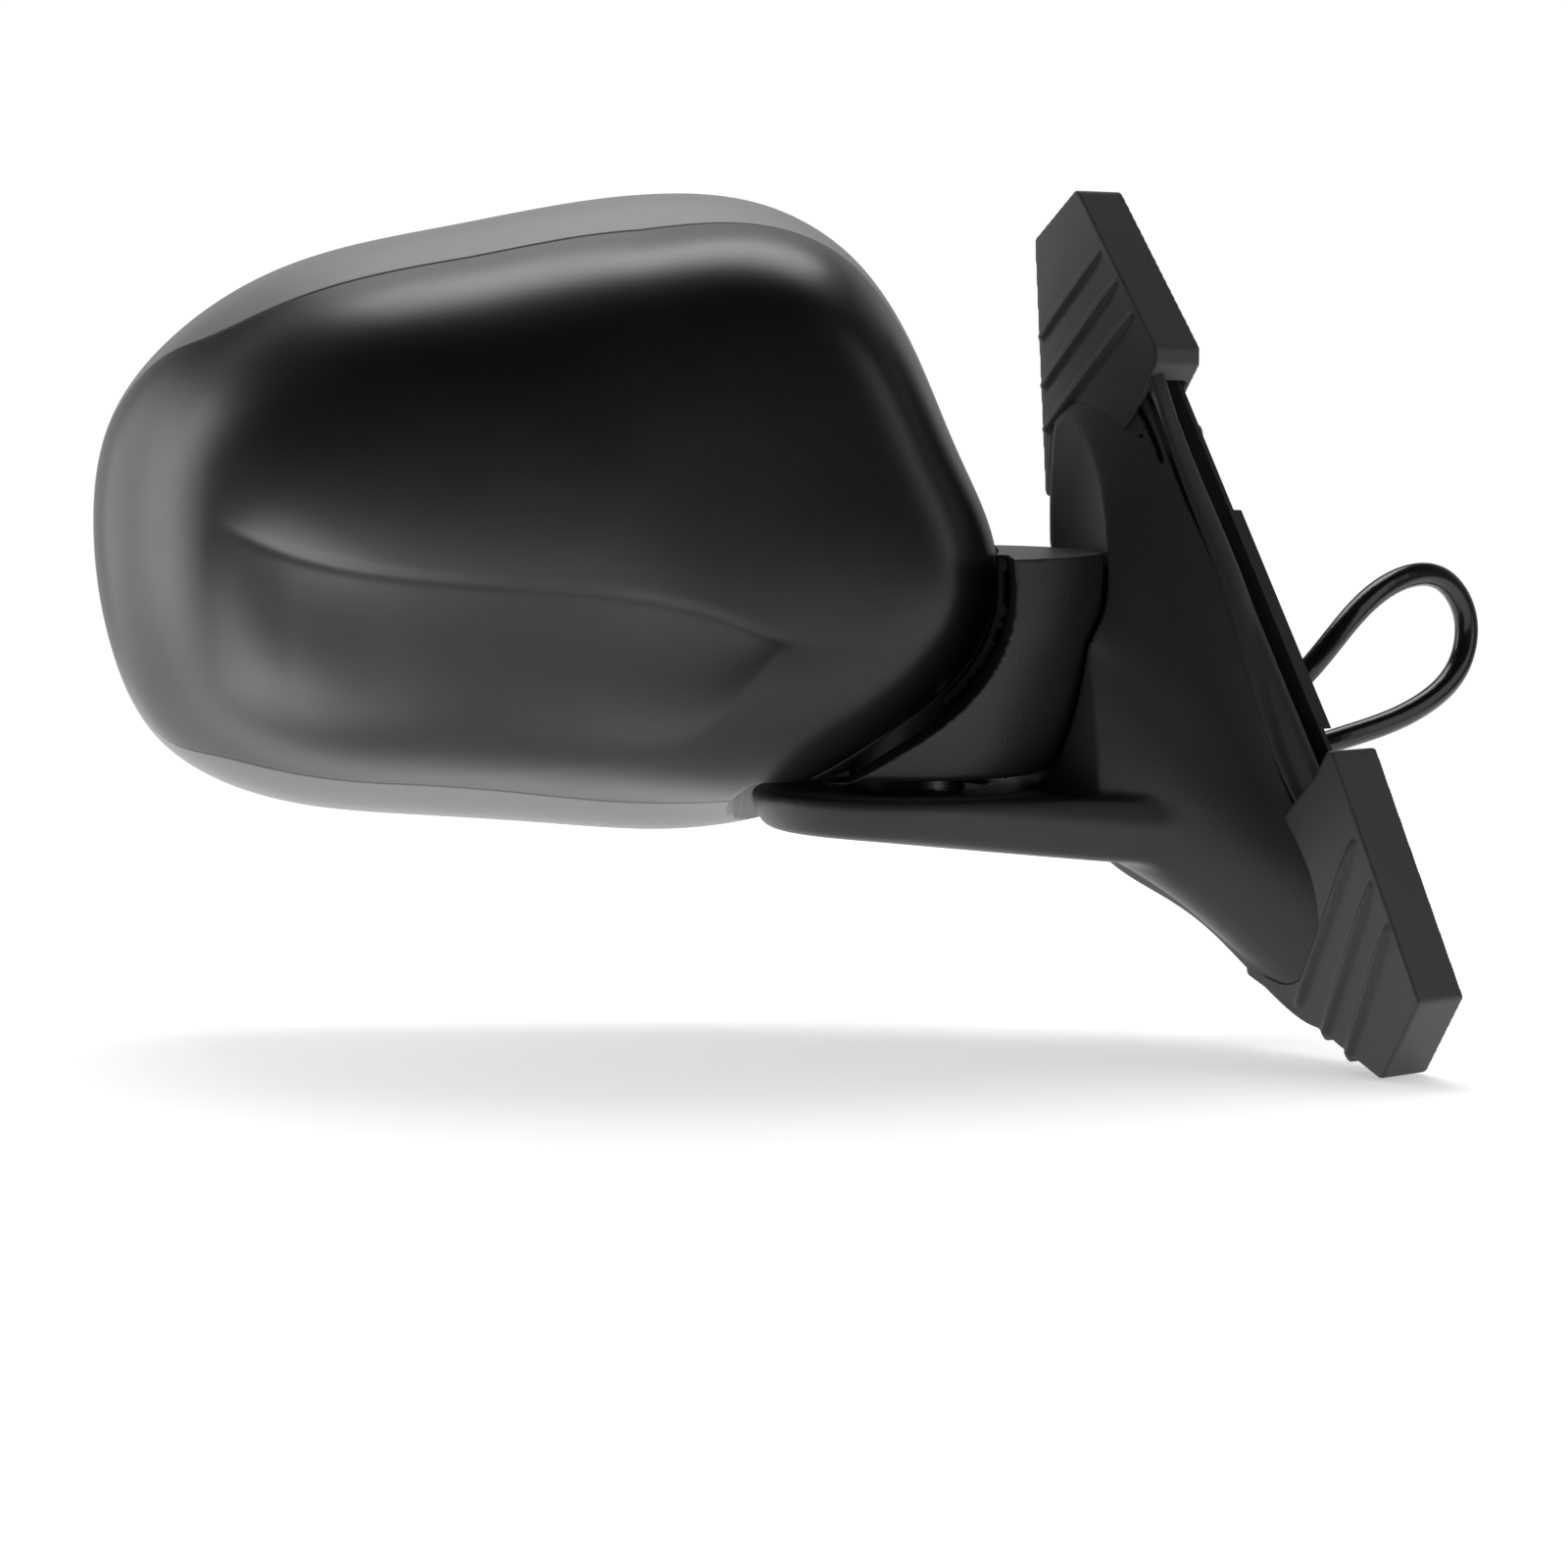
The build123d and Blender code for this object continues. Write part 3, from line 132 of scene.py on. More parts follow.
def to_row(points):
    """Head coordinates in millimetres to the row frame in metres."""
    p = np.asarray(points, float)
    return (PIVOT + p[..., 0:1] * U_DIR + p[..., 1:2] * V_DIR + p[..., 2:3] * W_DIR) * MM


def chord(points):
    """Distance along a polyline at each of its points."""
    steps = np.linalg.norm(np.diff(points, axis=0), axis=1)
    return np.concatenate([[0.0], np.cumsum(steps)])


def spline(knots, values, at, closed=False, end_slope=None):
    """Cubic spline through values at knots, read at the places in at."""
    n = len(knots)
    h = np.diff(knots)
    system = np.zeros((n, n))
    right = np.zeros((n, values.shape[1]))
    slopes = np.diff(values, axis=0) / h[:, None]
    for i in range(1, n - 1):
        system[i, i - 1 : i + 2] = h[i - 1], 2 * (h[i - 1] + h[i]), h[i]
        right[i] = 6 * (slopes[i] - slopes[i - 1])
    system[0, 0] = system[-1, -1] = 1
    if closed:
        system[0, :] = 0
        system[0, 0], system[0, 1], system[0, -2] = 2 * (h[0] + h[-1]), h[0], h[-1]
        right[0] = 6 * (slopes[0] - slopes[-1])
        system[-1, :] = 0
        system[-1, 0], system[-1, -1] = 1, -1
    if end_slope is not None:
        system[-1, -2], system[-1, -1] = h[-1], 2 * h[-1]
        right[-1] = 6 * (end_slope - slopes[-1])
    bend = np.linalg.solve(system, right)
    i = np.clip(np.searchsorted(knots, at, side="right") - 1, 0, n - 2)
    a = (knots[i + 1] - at)[:, None]
    b = (at - knots[i])[:, None]
    k = h[i][:, None]
    return (
        (bend[i] * a**3 + bend[i + 1] * b**3) / (6 * k)
        + (values[i] / k - bend[i] * k / 6) * a
        + (values[i + 1] / k - bend[i + 1] * k / 6) * b
    )


def smooth(x, low, high):
    """Smooth step from 0 at low to 1 at high."""
    t = np.clip((x - low) / (high - low), 0, 1)
    return t * t * (3 - 2 * t)


def curve_at(curve, x):
    """Height of an open smooth curve given as (x, y) points."""
    at = np.clip(x, curve[0, 0], curve[-1, 0]).ravel()
    return spline(curve[:, 0], curve[:, 1:2], at)[:, 0].reshape(np.shape(x))


def closed_outline(points, count):
    """Closed smooth outline through points, sampled evenly in its parameter."""
    loop = np.vstack([points, points[:1]])
    knots = chord(loop)
    return spline(knots, loop, np.linspace(0, knots[-1], count, endpoint=False), closed=True)


def blurred(values, width):
    """Closed row of values averaged with its neighbours over about width places each way."""
    reach = np.minimum(np.arange(len(values)), len(values) - np.arange(len(values)))
    weight = np.exp(-((reach / width) ** 2))
    weight /= weight.sum()
    return np.real(np.fft.ifft(np.fft.fft(values) * np.fft.fft(weight)))


def rim_samples():
    """Rim outline (u, w) and the fullness under it, sampled round the head."""
    loop = np.vstack([RIM, RIM[:1]])
    knots = chord(loop[:, :2])
    out = spline(knots, loop, np.linspace(0, knots[-1], ROUND, endpoint=False), closed=True)
    return out[:, :2], np.clip(out[:, 2], 0, 1)


def parting_v(u, w):
    """Depth of the line between cap and bezel over the point (u, w)."""
    low, high = curve_at(PARTING_LOW, u), curve_at(PARTING_HIGH, u)
    share = (w - PARTING_HEIGHTS[0]) / (PARTING_HEIGHTS[1] - PARTING_HEIGHTS[0])
    return low + (high - low) * share


def scoop(u, w):
    """How far the face of the cap is set back at (u, w).

    It rolls in above the crease, sharply at the crease's outboard end, and comes back out over the leaf
    below it. Past the tip of the leaf the valley runs on softly."""
    top = curve_at(CREASE, u)
    span = np.maximum(top - curve_at(LEAF_LOW, u), LEAF_LEAST)
    eased = 1.0 - SCOOP_LOST * smooth(u, *SCOOP_EASES)
    depth = SCOOP_DEPTH * smooth(u, *SCOOP_GROWS) * eased * (1.0 - smooth(u, *SCOOP_FADES))
    roll = ROLL_NEAR + (ROLL_FAR - ROLL_NEAR) * smooth(u, *ROLL_GROWS)
    above = np.exp(-np.maximum(w - top, 0.0) / roll)
    below = np.maximum(top - w, 0.0)
    share = np.clip(below / span, 0.0, 1.0)
    leaf = 1.0 - smooth(share, 0.0, 1.0)
    facet = FACET * span * share * (1.0 - share) ** FACET_POWER * smooth(u, *FACET_GROWS)
    valley = np.exp(-((below / VALLEY_REACH) ** 2))
    past_tip = smooth(u, *TIP_PASSED)
    under = leaf + (valley - leaf) * past_tip
    groove = np.exp(-(((w - top + LINE_DROP) / LINE_WIDTH) ** 2))
    line = CREASE_LINE * groove * smooth(u, *LINE_GROWS) * (1.0 - past_tip)
    return depth * np.where(w > top, above, under) + line + facet * (1.0 - past_tip)


def head_profiles():
    """Profiles of the outer form: fine points from the rim to the nose, one row for each column."""
    rings = []
    rim, fullness = rim_samples()
    even = blurred(fullness, BLUR)
    for v, soft, steep in SECTIONS:
        mixed = fullness + (even - fullness) * smooth(-v, 0.0, BLUR_DEPTH)
        ring = DOME_CENTRE + (rim - DOME_CENTRE) * (soft + (steep - soft) * mixed)[:, None]
        rings.append(np.column_stack([ring[:, 0], np.full(ROUND, float(v)), ring[:, 1]]))
    rings = np.array(rings)
    nose = np.array([DOME_CENTRE[0], NOSE_V, DOME_CENTRE[1]])
    fine = []
    for i in range(ROUND):
        points = np.vstack([rings[:, i], nose])
        knots = chord(points)
        inward = nose - points[-2]
        inward[1] = 0
        inward /= np.linalg.norm(inward)
        fine.append(spline(knots, points, np.linspace(0, knots[-1], PROFILE_POINTS), end_slope=inward))
    return np.array(fine)


def resampled(profile, starts):
    """Points of a fine profile at the given distances along it."""
    along = chord(profile)
    return np.column_stack([np.interp(starts, along, profile[:, k]) for k in range(3)])


def grid_normals(grid):
    """Unit normals of a closed-in-column grid (columns, rows, 3)."""
    across = np.roll(grid, -1, axis=0) - np.roll(grid, 1, axis=0)
    along = np.gradient(grid, axis=1)
    normal = np.cross(across, along)
    length = np.linalg.norm(normal, axis=2, keepdims=True)
    return normal / np.maximum(length, 1e-9)


# ---------------------------------------------------------------- mesh helpers
def new_object(name, verts, faces):
    """Mesh object from row-frame points in metres, smooth except across sharp edges."""
    mesh = bpy.data.meshes.new(name)
    mesh.from_pydata([tuple(v) for v in verts], [], faces)
    work = bmesh.new()
    work.from_mesh(mesh)
    bmesh.ops.recalc_face_normals(work, faces=work.faces)
    work.to_mesh(mesh)
    work.free()
    obj = bpy.data.objects.new(name, mesh)
    bpy.context.scene.collection.objects.link(obj)
    mesh.shade_smooth()
    mesh.set_sharp_from_angle(angle=math.radians(SHARP))
    return obj


def loop_faces(columns, rows, close_rows=False):
    """Quads of a grid closed round its columns, and round its rows as well if close_rows."""
    faces = []
    last = rows if close_rows else rows - 1
    for i in range(columns):
        j = (i + 1) % columns
        for r in range(last):
            s = (r + 1) % rows
            faces.append((i * rows + r, i * rows + s, j * rows + s, j * rows + r))
    return faces


def over_shelf(points, thick=0.0):
    """Lifts a shell's underside clear of the shelf of the base; thick is 0 for its outer face."""
    u, v, w = points[..., 0], points[..., 1], points[..., 2]
    apart = np.minimum(np.hypot(u, v) - SHELF_ROOM_R, SHELF_ROOM_U - u) - thick
    floor = SHELF_ROOM + thick
    out = points.copy()
    out[..., 2] = np.where(w < floor, floor + (w - floor) * smooth(apart, 0.0, SHELF_STEP), w)
    return out


# ---------------------------------------------------------------- cap and bezel
def build_cap(profiles, parting):
    """Front cap: outer face with its crease, rounded edge, and inner face."""
    grid = []
    for profile, start in zip(profiles, parting):
        total = chord(profile)[-1]
        stops = np.linspace(start + SHELL_GAP / 2 + EDGE_R, total, RISE)[:-1]
        grid.append(resampled(profile, stops))
    outer = np.array(grid)
    outer[..., 1] += scoop(outer[..., 0], outer[..., 2])
    normal = grid_normals(outer)
    if (normal[0, 0] * (outer[0, 0] - [DOME_CENTRE[0], 0, DOME_CENTRE[1]])).sum() < 0:
        normal = -normal
    along = outer[:, 0] - outer[:, 1]
    along /= np.linalg.norm(along, axis=1, keepdims=True)
    edge = []
    for turn in np.radians(EDGE_TURNS[::-1]):
        drop = normal[:, 0] * EDGE_R * (math.cos(turn) - 1)
        edge.append(outer[:, 0] + drop + along * EDGE_R * math.sin(turn))
    edge = np.stack(edge, axis=1)
    inner = outer - normal * WALL
    inner_edge = inner[:, :1] + along[:, None] * EDGE_R
    outside = over_shelf(np.concatenate([edge, outer], axis=1))
    inside = over_shelf(np.concatenate([inner[:, ::-1], inner_edge], axis=1), WALL)
    strip = np.concatenate([inside, outside], axis=1)
    rows = strip.shape[1]
    verts = to_row(strip.reshape(-1, 3))
    nose_v = NOSE_V + float(scoop(DOME_CENTRE[:1], DOME_CENTRE[1:])[0])
    nose = to_row([(DOME_CENTRE[0], nose_v + WALL, DOME_CENTRE[1]), (DOME_CENTRE[0], nose_v, DOME_CENTRE[1])])
    faces = loop_faces(ROUND, rows)
    inner_nose, outer_nose = ROUND * rows, ROUND * rows + 1
    for i in range(ROUND):
        j = (i + 1) % ROUND
        faces.append((i * rows, j * rows, inner_nose))
        faces.append((j * rows + rows - 1, i * rows + rows - 1, outer_nose))
    return new_object("cap_shell", np.vstack([verts, nose]), faces)


def build_bezel(profiles, parting):
    """Rear frame of the head: outer band, rounded rim, lip round the glass opening, inner face."""
    opening = closed_outline(GLASS_CENTRE + (RIM[:, :2] - GLASS_CENTRE) * OPENING_SCALE, ROUND)
    rim = rim_samples()[0]
    band = []
    for profile, start in zip(profiles, parting):
        stops = np.linspace(RIM_EDGE_R, start - SHELL_GAP / 2 - EDGE_R, BAND_ROWS)
        band.append(resampled(profile, stops))
    band = np.array(band)
    normal = grid_normals(band)
    outward = np.column_stack([rim[:, 0] - DOME_CENTRE[0], np.zeros(ROUND), rim[:, 1] - DOME_CENTRE[1]])
    probe = 5  # a row of the band that is clear of its ends
    if (normal[:, probe] * outward).sum() < 0:
        normal = -normal
    forward = band[:, -1] - band[:, -2]
    forward /= np.linalg.norm(forward, axis=1, keepdims=True)
    edge = [
        band[:, -1] + normal[:, -1] * EDGE_R * (math.cos(t) - 1) + forward * EDGE_R * math.sin(t)
        for t in np.radians(EDGE_TURNS)
    ]
    room = np.minimum(LIP_DEPTH, LIP_SHARE * parting)
    inner = []
    for profile, start, lip in zip(profiles, parting, room):
        stops = np.linspace(min(lip + WALL, start - BAND_LEFT), start - SHELL_GAP / 2 - EDGE_R, INNER_ROWS)
        inner.append(resampled(profile, stops))
    inner = np.array(inner)
    inner_normal = grid_normals(inner)
    inner = inner - (inner_normal * np.sign((inner_normal[:, probe] * outward).sum())) * WALL
    centre = band[:, 0] - normal[:, 0] * RIM_EDGE_R
    rear = np.array([0.0, 1.0, 0.0])
    rim_round = [
        centre + (normal[:, 0] * math.cos(t) + rear * math.sin(t)) * RIM_EDGE_R
        for t in np.radians(EDGE_TURNS[::-1])
    ]
    top_v = rim_round[0][:, 1]
    lip_edge = np.column_stack([opening[:, 0], top_v, opening[:, 1]])
    out = lip_edge - np.column_stack([
        np.full(ROUND, GLASS_CENTRE[0]), top_v, np.full(ROUND, GLASS_CENTRE[1]),
    ])
    out /= np.linalg.norm(out, axis=1, keepdims=True)
    lip_round = [
        lip_edge + out * RIM_EDGE_R * (1 - math.cos(t)) + rear * RIM_EDGE_R * (math.sin(t) - 1)
        for t in np.radians((0, *EDGE_TURNS))
    ]
    lip_deep = lip_edge - rear * room[:, None]
    lip_under = lip_deep + out * WALL
    outside = over_shelf(np.stack([*rim_round, *np.moveaxis(band, 1, 0), *edge], axis=1))
    under = np.moveaxis(inner[:, ::-1], 1, 0)
    inside = over_shelf(np.stack([*under, lip_under, lip_deep, *lip_round], axis=1), WALL)
    strip = np.concatenate([outside, inside], axis=1)
    verts = to_row(strip.reshape(-1, 3))
    return new_object("bezel_frame", verts, loop_faces(ROUND, strip.shape[1], close_rows=True))


# ---------------------------------------------------------------- remoulded shells
WELD = 2e-6  # metres within which points of the CAD mesh are joined
SOFTEN = 0.5  # strength of one round of smoothing
LEAST_WEIGHT = 0.01
FILLET_ROUNDS = 120


def remoulded(name, node, voxel, rounds, extra=(), trim=None, soften_more=None):
    """New piece with the form of a CAD node and of any extra closed solids, its corners and joins softened.

    trim(points in millimetres) moves the points of the CAD node first, and soften_more(points in millimetres)
    says where the joins are rounded much more."""
    mesh = frame["nodes"][node].data.copy()
    work = bmesh.new()
    work.from_mesh(mesh)
    if trim is not None:
        moved = trim(np.array([vert.co[:] for vert in work.verts]) / MM) * MM
        for vert, point in zip(work.verts, moved):
            vert.co = point
    for other in extra:
        work.from_mesh(other.data)
    bmesh.ops.remove_doubles(work, verts=work.verts, dist=WELD)
    work.to_mesh(mesh)
    work.free()
    for other in extra:
        bpy.data.objects.remove(other)
    obj = bpy.data.objects.new(name, mesh)
    bpy.context.scene.collection.objects.link(obj)
    remesh = obj.modifiers.new("remesh", "REMESH")
    remesh.mode, remesh.voxel_size = "VOXEL", voxel * MM
    soften = obj.modifiers.new("soften", "SMOOTH")
    soften.factor, soften.iterations = SOFTEN, rounds
    apply_modifiers(obj)
    if soften_more is not None:
        flat = np.empty(len(obj.data.vertices) * 3)
        obj.data.vertices.foreach_get("co", flat)
        group = obj.vertex_groups.new(name="fillet")
        for index, weight in enumerate(soften_more(flat.reshape(-1, 3) / MM)):
            if weight > LEAST_WEIGHT:
                group.add([index], float(weight), "REPLACE")
        fillet = obj.modifiers.new("fillet", "SMOOTH")
        fillet.factor, fillet.iterations, fillet.vertex_group = SOFTEN, FILLET_ROUNDS, "fillet"
        apply_modifiers(obj)
        obj.vertex_groups.clear()
    obj.data.shade_smooth()
    return obj


def apply_modifiers(obj):
    """Makes the shape that the modifiers give the object's own mesh."""
    graph = bpy.context.evaluated_depsgraph_get()
    final = bpy.data.meshes.new_from_object(obj.evaluated_get(graph))
    obj.modifiers.clear()
    obj.data = final


ASIDE = (0.31, 0.17, 0.94)  # a direction that no rod runs along


def tube(name, path, radii, sides=12):
    """Closed round rod through row-frame points in millimetres, with a radius at each point."""
    path = np.asarray(path, float)
    run = np.gradient(path, axis=0)
    run /= np.linalg.norm(run, axis=1, keepdims=True)
    verts = []
    for point, way, radius in zip(path, run, radii):
        across = np.cross(way, ASIDE)
        across /= np.linalg.norm(across)
        up = np.cross(way, across)
        for k in range(sides):
            turn = 2 * math.pi * k / sides
            verts.append((point + (across * math.cos(turn) + up * math.sin(turn)) * radius) * MM)
    n = len(path)
    faces = [
        (a * sides + k, a * sides + (k + 1) % sides, (a + 1) * sides + (k + 1) % sides, (a + 1) * sides + k)
        for a in range(n - 1)
        for k in range(sides)
    ]
    faces.append(tuple(range(sides)))
    faces.append(tuple(range((n - 1) * sides, n * sides)))
    return new_object(name, verts, faces)


# ---------------------------------------------------------------- base, in row-frame millimetres
FAIRING_TOP = -25.3
FAIRING_STEP = 5  # degrees between its points round the shelf
SHELF_EDGE = [(38.6, FAIRING_TOP), (39.9, -27.0), (38.7, -30.8), (36.7, -34.7)]  # undercut edge, (radius, z)
SHELF_RIM = (30.0, 41.0)  # radii between which a point of the CAD cover belongs to that edge
BEHIND_FAIRING = 0.2  # how far inside the fairing the cover's own edge is drawn
# Underside of the arm as (x, y, z), from the neck to where it starts to flare.
ARM_LOW = [
    (-43, -3, -28), (-43, -24, -34.5), (-43, -41.5, -34.7), (-43, -45.4, -28), (-30, -6, -32.5),
    (-30, -36, -41.5), (-30, -59, -42.5), (-30, -63, -32), (-30, -60, -25.6), (-43, -45, -25.6),
    (-30, 2, -25.6), (-43, 1, -25.6),
]
# Outline (y, z) of the arm where it meets the flange.
ARM_END = np.array([
    (3, 95), (4, 60), (3, 20), (1, -20), (-8, -40), (-55, -60), (-103, -76), (-107, -63), (-86, -22),
    (-63, 28), (-40, 64), (-13, 98),
])
RING_POINTS = 200
RING_SECTION = ((-15.0, 1.6), (-13.0, 0.5), (-10.2, 0.5), (-10.2, 5.0), (-15.0, 5.0))  # (x, inside ARM_END)
UNDER_ARM_LOW, UNDER_ARM_OUT = (25.0, 31.0), (15.5, 21.0)  # where the join under the arm begins and is full


def shelf_fairing():
    """Solid that fills the corner between the round shelf and the arm, so that one runs into the other."""
    work = bmesh.new()
    for turn in np.radians(np.arange(0, 360, FAIRING_STEP)):
        for radius, height in SHELF_EDGE:
            place_at = PIVOT + np.array([radius * math.cos(turn), radius * math.sin(turn), height])
            work.verts.new(tuple(place_at * MM))
    for point in ARM_LOW:
        work.verts.new(tuple(np.array(point, float) * MM))
    hull = bmesh.ops.convex_hull(work, input=work.verts)
    unused = hull["geom_interior"] + hull["geom_unused"]
    inside = {item for item in unused if isinstance(item, bmesh.types.BMVert)}
    bmesh.ops.delete(work, geom=list(inside), context="VERTS")
    mesh = bpy.data.meshes.new("fairing")
    work.to_mesh(mesh)
    work.free()
    return bpy.data.objects.new("fairing", mesh)


def undercut(points):
    """Draws the rim of the round shelf in towards its underside."""
    out = points.copy()
    away = points[:, :2] - PIVOT[:2]
    radius = np.linalg.norm(away, axis=1)
    upward = SHELF_EDGE[::-1]
    limit = np.interp(points[:, 2], [z for _, z in upward], [r for r, _ in upward])
    rim = (radius > SHELF_RIM[0]) & (radius < SHELF_RIM[1]) & (points[:, 2] < FAIRING_TOP)
    factor = np.where(rim, np.minimum(1.0, (limit - BEHIND_FAIRING) / np.maximum(radius, 1.0)), 1.0)
    out[:, :2] = PIVOT[:2] + away * factor[:, None]
    return out


def flange_ring():
    """Closed ring just inside the end of the arm, which joins its wall to the flange without a thin place."""
    outline = closed_outline(ARM_END, RING_POINTS)
    centre = outline.mean(axis=0)
    arms = outline - centre
    arms /= np.linalg.norm(arms, axis=1, keepdims=True)
    strip = []
    for x, inset in RING_SECTION:
        at = outline - arms * inset
        strip.append(np.column_stack([np.full(len(at), x), at]))
    grid = np.stack(strip, axis=1)
    return new_object("ring", grid.reshape(-1, 3) * MM, loop_faces(len(outline), len(strip), close_rows=True))


def under_the_arm(points):
    """Where the arm runs into the shelf, as 1 inside that region and 0 well outside it."""
    return smooth(-points[:, 2], *UNDER_ARM_LOW) * smooth(-points[:, 0], *UNDER_ARM_OUT)


# ---------------------------------------------------------------- guards, in row-frame millimetres
GUARD_FACE = -15.0  # x of the face
GUARD_VOXEL, GUARD_ROUNDS = 0.45, 4
RIB_R = 1.25
RIB_POINTS = 12
RIB_THINS, THINS_FROM, THINS_OVER = 0.6, 0.8, 0.2  # loss of radius over the last part of a rib
RIB_CORNER = ((7.0, 4.6), (1.3, 4.5), (0.15, 3.2))  # round the face's edge: (behind the face, past the start)
# Ribs as (y, z) from the edge that they wrap to where they fade out.
UPPER_RIBS = [((7, 89.3), (-13, 107.6)), ((6, 76.8), (-19.5, 100.3)), ((5, 65.5), (-25.5, 92))]
LOWER_RIBS = [((-90, -70), (-106.5, -32.5)), ((-99, -76), (-112.5, -42)), ((-107, -80), (-118, -51.5))]
# Far edge of each guard's face as two (y, z) points; the guard lies to the rear of it.
UPPER_EDGE = np.array([(-4, 124.5), (-35, 84)])
LOWER_EDGE = np.array([(-98, -10), (-129, -68)])


def guard(name, node, ribs, edge):
    """Soft corner guard with rounded ribs that wrap one edge of its face and fade out at the other."""
    along = (edge[1] - edge[0]) / np.linalg.norm(edge[1] - edge[0])
    outward = np.array([along[1], -along[0]])

    def trim(points):
        """Presses what stands proud of the face or of the far edge back to it."""
        out = points.copy()
        out[:, 0] = np.maximum(out[:, 0], GUARD_FACE)
        beyond = np.maximum((out[:, 1:] - edge[0]) @ outward, 0.0)
        out[:, 1:] -= beyond[:, None] * outward
        return out

    rods = []
    for start, end in ribs:
        start, end = np.array(start, float), np.array(end, float)
        out = (start - end) / np.linalg.norm(start - end)
        share = np.linspace(0, 1, RIB_POINTS)
        face = [(GUARD_FACE, *(start + (end - start) * t)) for t in share]
        corner = [(GUARD_FACE + behind, *(start + out * past)) for behind, past in RIB_CORNER]
        radii = [RIB_R] * len(corner)
        radii += [RIB_R - RIB_THINS * max(0.0, t - THINS_FROM) / THINS_OVER for t in share]
        rods.append(tube(name + "_rib", corner + face, radii))
    return remoulded(name, node, GUARD_VOXEL, GUARD_ROUNDS, rods, trim)


# ---------------------------------------------------------------- materials
def link(tree, a, b):
    """Joins two sockets."""
    tree.links.new(a, b)


def add_node(tree, kind, **values):
    """New node with its properties or inputs set by name."""
    item = tree.nodes.new(kind)
    for key, value in values.items():
        if hasattr(item, key):
            setattr(item, key, value)
        else:
            item.inputs[key.replace("_", " ")].default_value = value
    return item


def finish_material(name, colour, rough, metallic=0.0, grain=0.0, relief=0.0, leather=False,
                    mottle=0.12, round_edge=0.0):
    """Procedural finish: colour and gloss vary broadly, and the surface carries a fine grain.

    mottle is the share by which colour and gloss vary, grain and relief are the grain's size and height in
    metres, and round_edge is the radius in metres with which corners catch light."""
    mat = bpy.data.materials.new(name)
    mat.use_nodes = True
    tree = mat.node_tree
    body = tree.nodes["Principled BSDF"]
    body.inputs["Metallic"].default_value = metallic
    coords = add_node(tree, "ShaderNodeTexCoord")
    broad = add_node(tree, "ShaderNodeTexNoise", Scale=38.0, Detail=5.0, Roughness=0.6)
    link(tree, coords.outputs["Object"], broad.inputs["Vector"])
    tint = add_node(tree, "ShaderNodeMix", data_type="RGBA")
    # A mix node lists its factor first, and its colours come after its numbers and vectors.
    tint.inputs[6].default_value = (*[c * (1 - mottle) for c in colour], 1)
    tint.inputs[7].default_value = (*[c * (1 + mottle) for c in colour], 1)
    link(tree, broad.outputs["Fac"], tint.inputs[0])
    link(tree, tint.outputs[2], body.inputs["Base Color"])
    gloss = add_node(tree, "ShaderNodeMapRange")
    gloss.inputs["To Min"].default_value = rough * (1 - mottle)
    gloss.inputs["To Max"].default_value = rough * (1 + mottle)
    link(tree, broad.outputs["Fac"], gloss.inputs["Value"])
    link(tree, gloss.outputs["Result"], body.inputs["Roughness"])
    normal = None
    if round_edge:
        normal = add_node(tree, "ShaderNodeBevel", samples=4)
        normal.inputs["Radius"].default_value = round_edge
    if grain:
        if leather:
            texture = add_node(tree, "ShaderNodeTexVoronoi", feature="SMOOTH_F1", Scale=1 / grain)
            height = texture.outputs["Distance"]
        else:
            texture = add_node(tree, "ShaderNodeTexNoise", Scale=1 / grain, Detail=2.0)
            height = texture.outputs["Fac"]
        link(tree, coords.outputs["Object"], texture.inputs["Vector"])
        bump = add_node(tree, "ShaderNodeBump", Strength=1.0, Distance=relief)
        link(tree, height, bump.inputs["Height"])
        if normal:
            link(tree, normal.outputs["Normal"], bump.inputs["Normal"])
        normal = bump
    if normal:
        link(tree, normal.outputs["Normal"], body.inputs["Normal"])
    return mat


SATIN = finish_material("satin_black", (0.0045, 0.0045, 0.0048), 0.38, grain=0.0005, relief=0.00001)
# The bezel's grey base colour is painted reflection: it stands in for the white surround mirrored by its
# band, so the bezel reads lighter than the cap.
BEZEL_PAINTED_REFLECTION = finish_material("bezel_painted_reflection", (0.18, 0.18, 0.18), 0.5, grain=0.0005, relief=0.00001)
GRAINED = finish_material("grained_black", (0.005, 0.005, 0.005), 0.45, grain=0.0009, relief=0.00005,
                          leather=True, round_edge=0.0006)
MATTE = finish_material("matte_black", (0.024, 0.024, 0.0245), 0.48, grain=0.0004, relief=0.000015,
                        round_edge=0.0006)
GUARD = finish_material("soft_guard", (0.030, 0.029, 0.027), 0.50, grain=0.0008, relief=0.00002,
                        round_edge=0.0004)
FOAM = finish_material("gasket_foam", (0.012, 0.012, 0.012), 0.9, grain=0.0006, relief=0.0001)
VINYL = finish_material("vinyl_black", (0.006, 0.006, 0.006), 0.2, grain=0.005, relief=0.00012)
NYLON = finish_material("glass_filled_nylon", (0.03, 0.03, 0.032), 0.5, grain=0.0005, relief=0.00002,
                        round_edge=0.0003)
ACETAL = finish_material("acetal", (0.75, 0.74, 0.70), 0.35, mottle=0.04, round_edge=0.0002)
ZINC = finish_material("zinc_steel", (0.62, 0.62, 0.60), 0.32, metallic=1.0, mottle=0.2, round_edge=0.0002)
SPRING = finish_material("spring_steel", (0.30, 0.30, 0.31), 0.35, metallic=1.0, mottle=0.2)
MOTOR = finish_material("motor_can", (0.55, 0.56, 0.57), 0.28, metallic=1.0, mottle=0.1, round_edge=0.0002)
CASE = finish_material("case_grey", (0.09, 0.09, 0.095), 0.5, grain=0.0005, relief=0.00002, round_edge=0.0003)
DIE_CAST = finish_material("die_cast", (0.50, 0.50, 0.51), 0.45, metallic=1.0, mottle=0.2, grain=0.0012,
                           relief=0.00005, round_edge=0.0004)
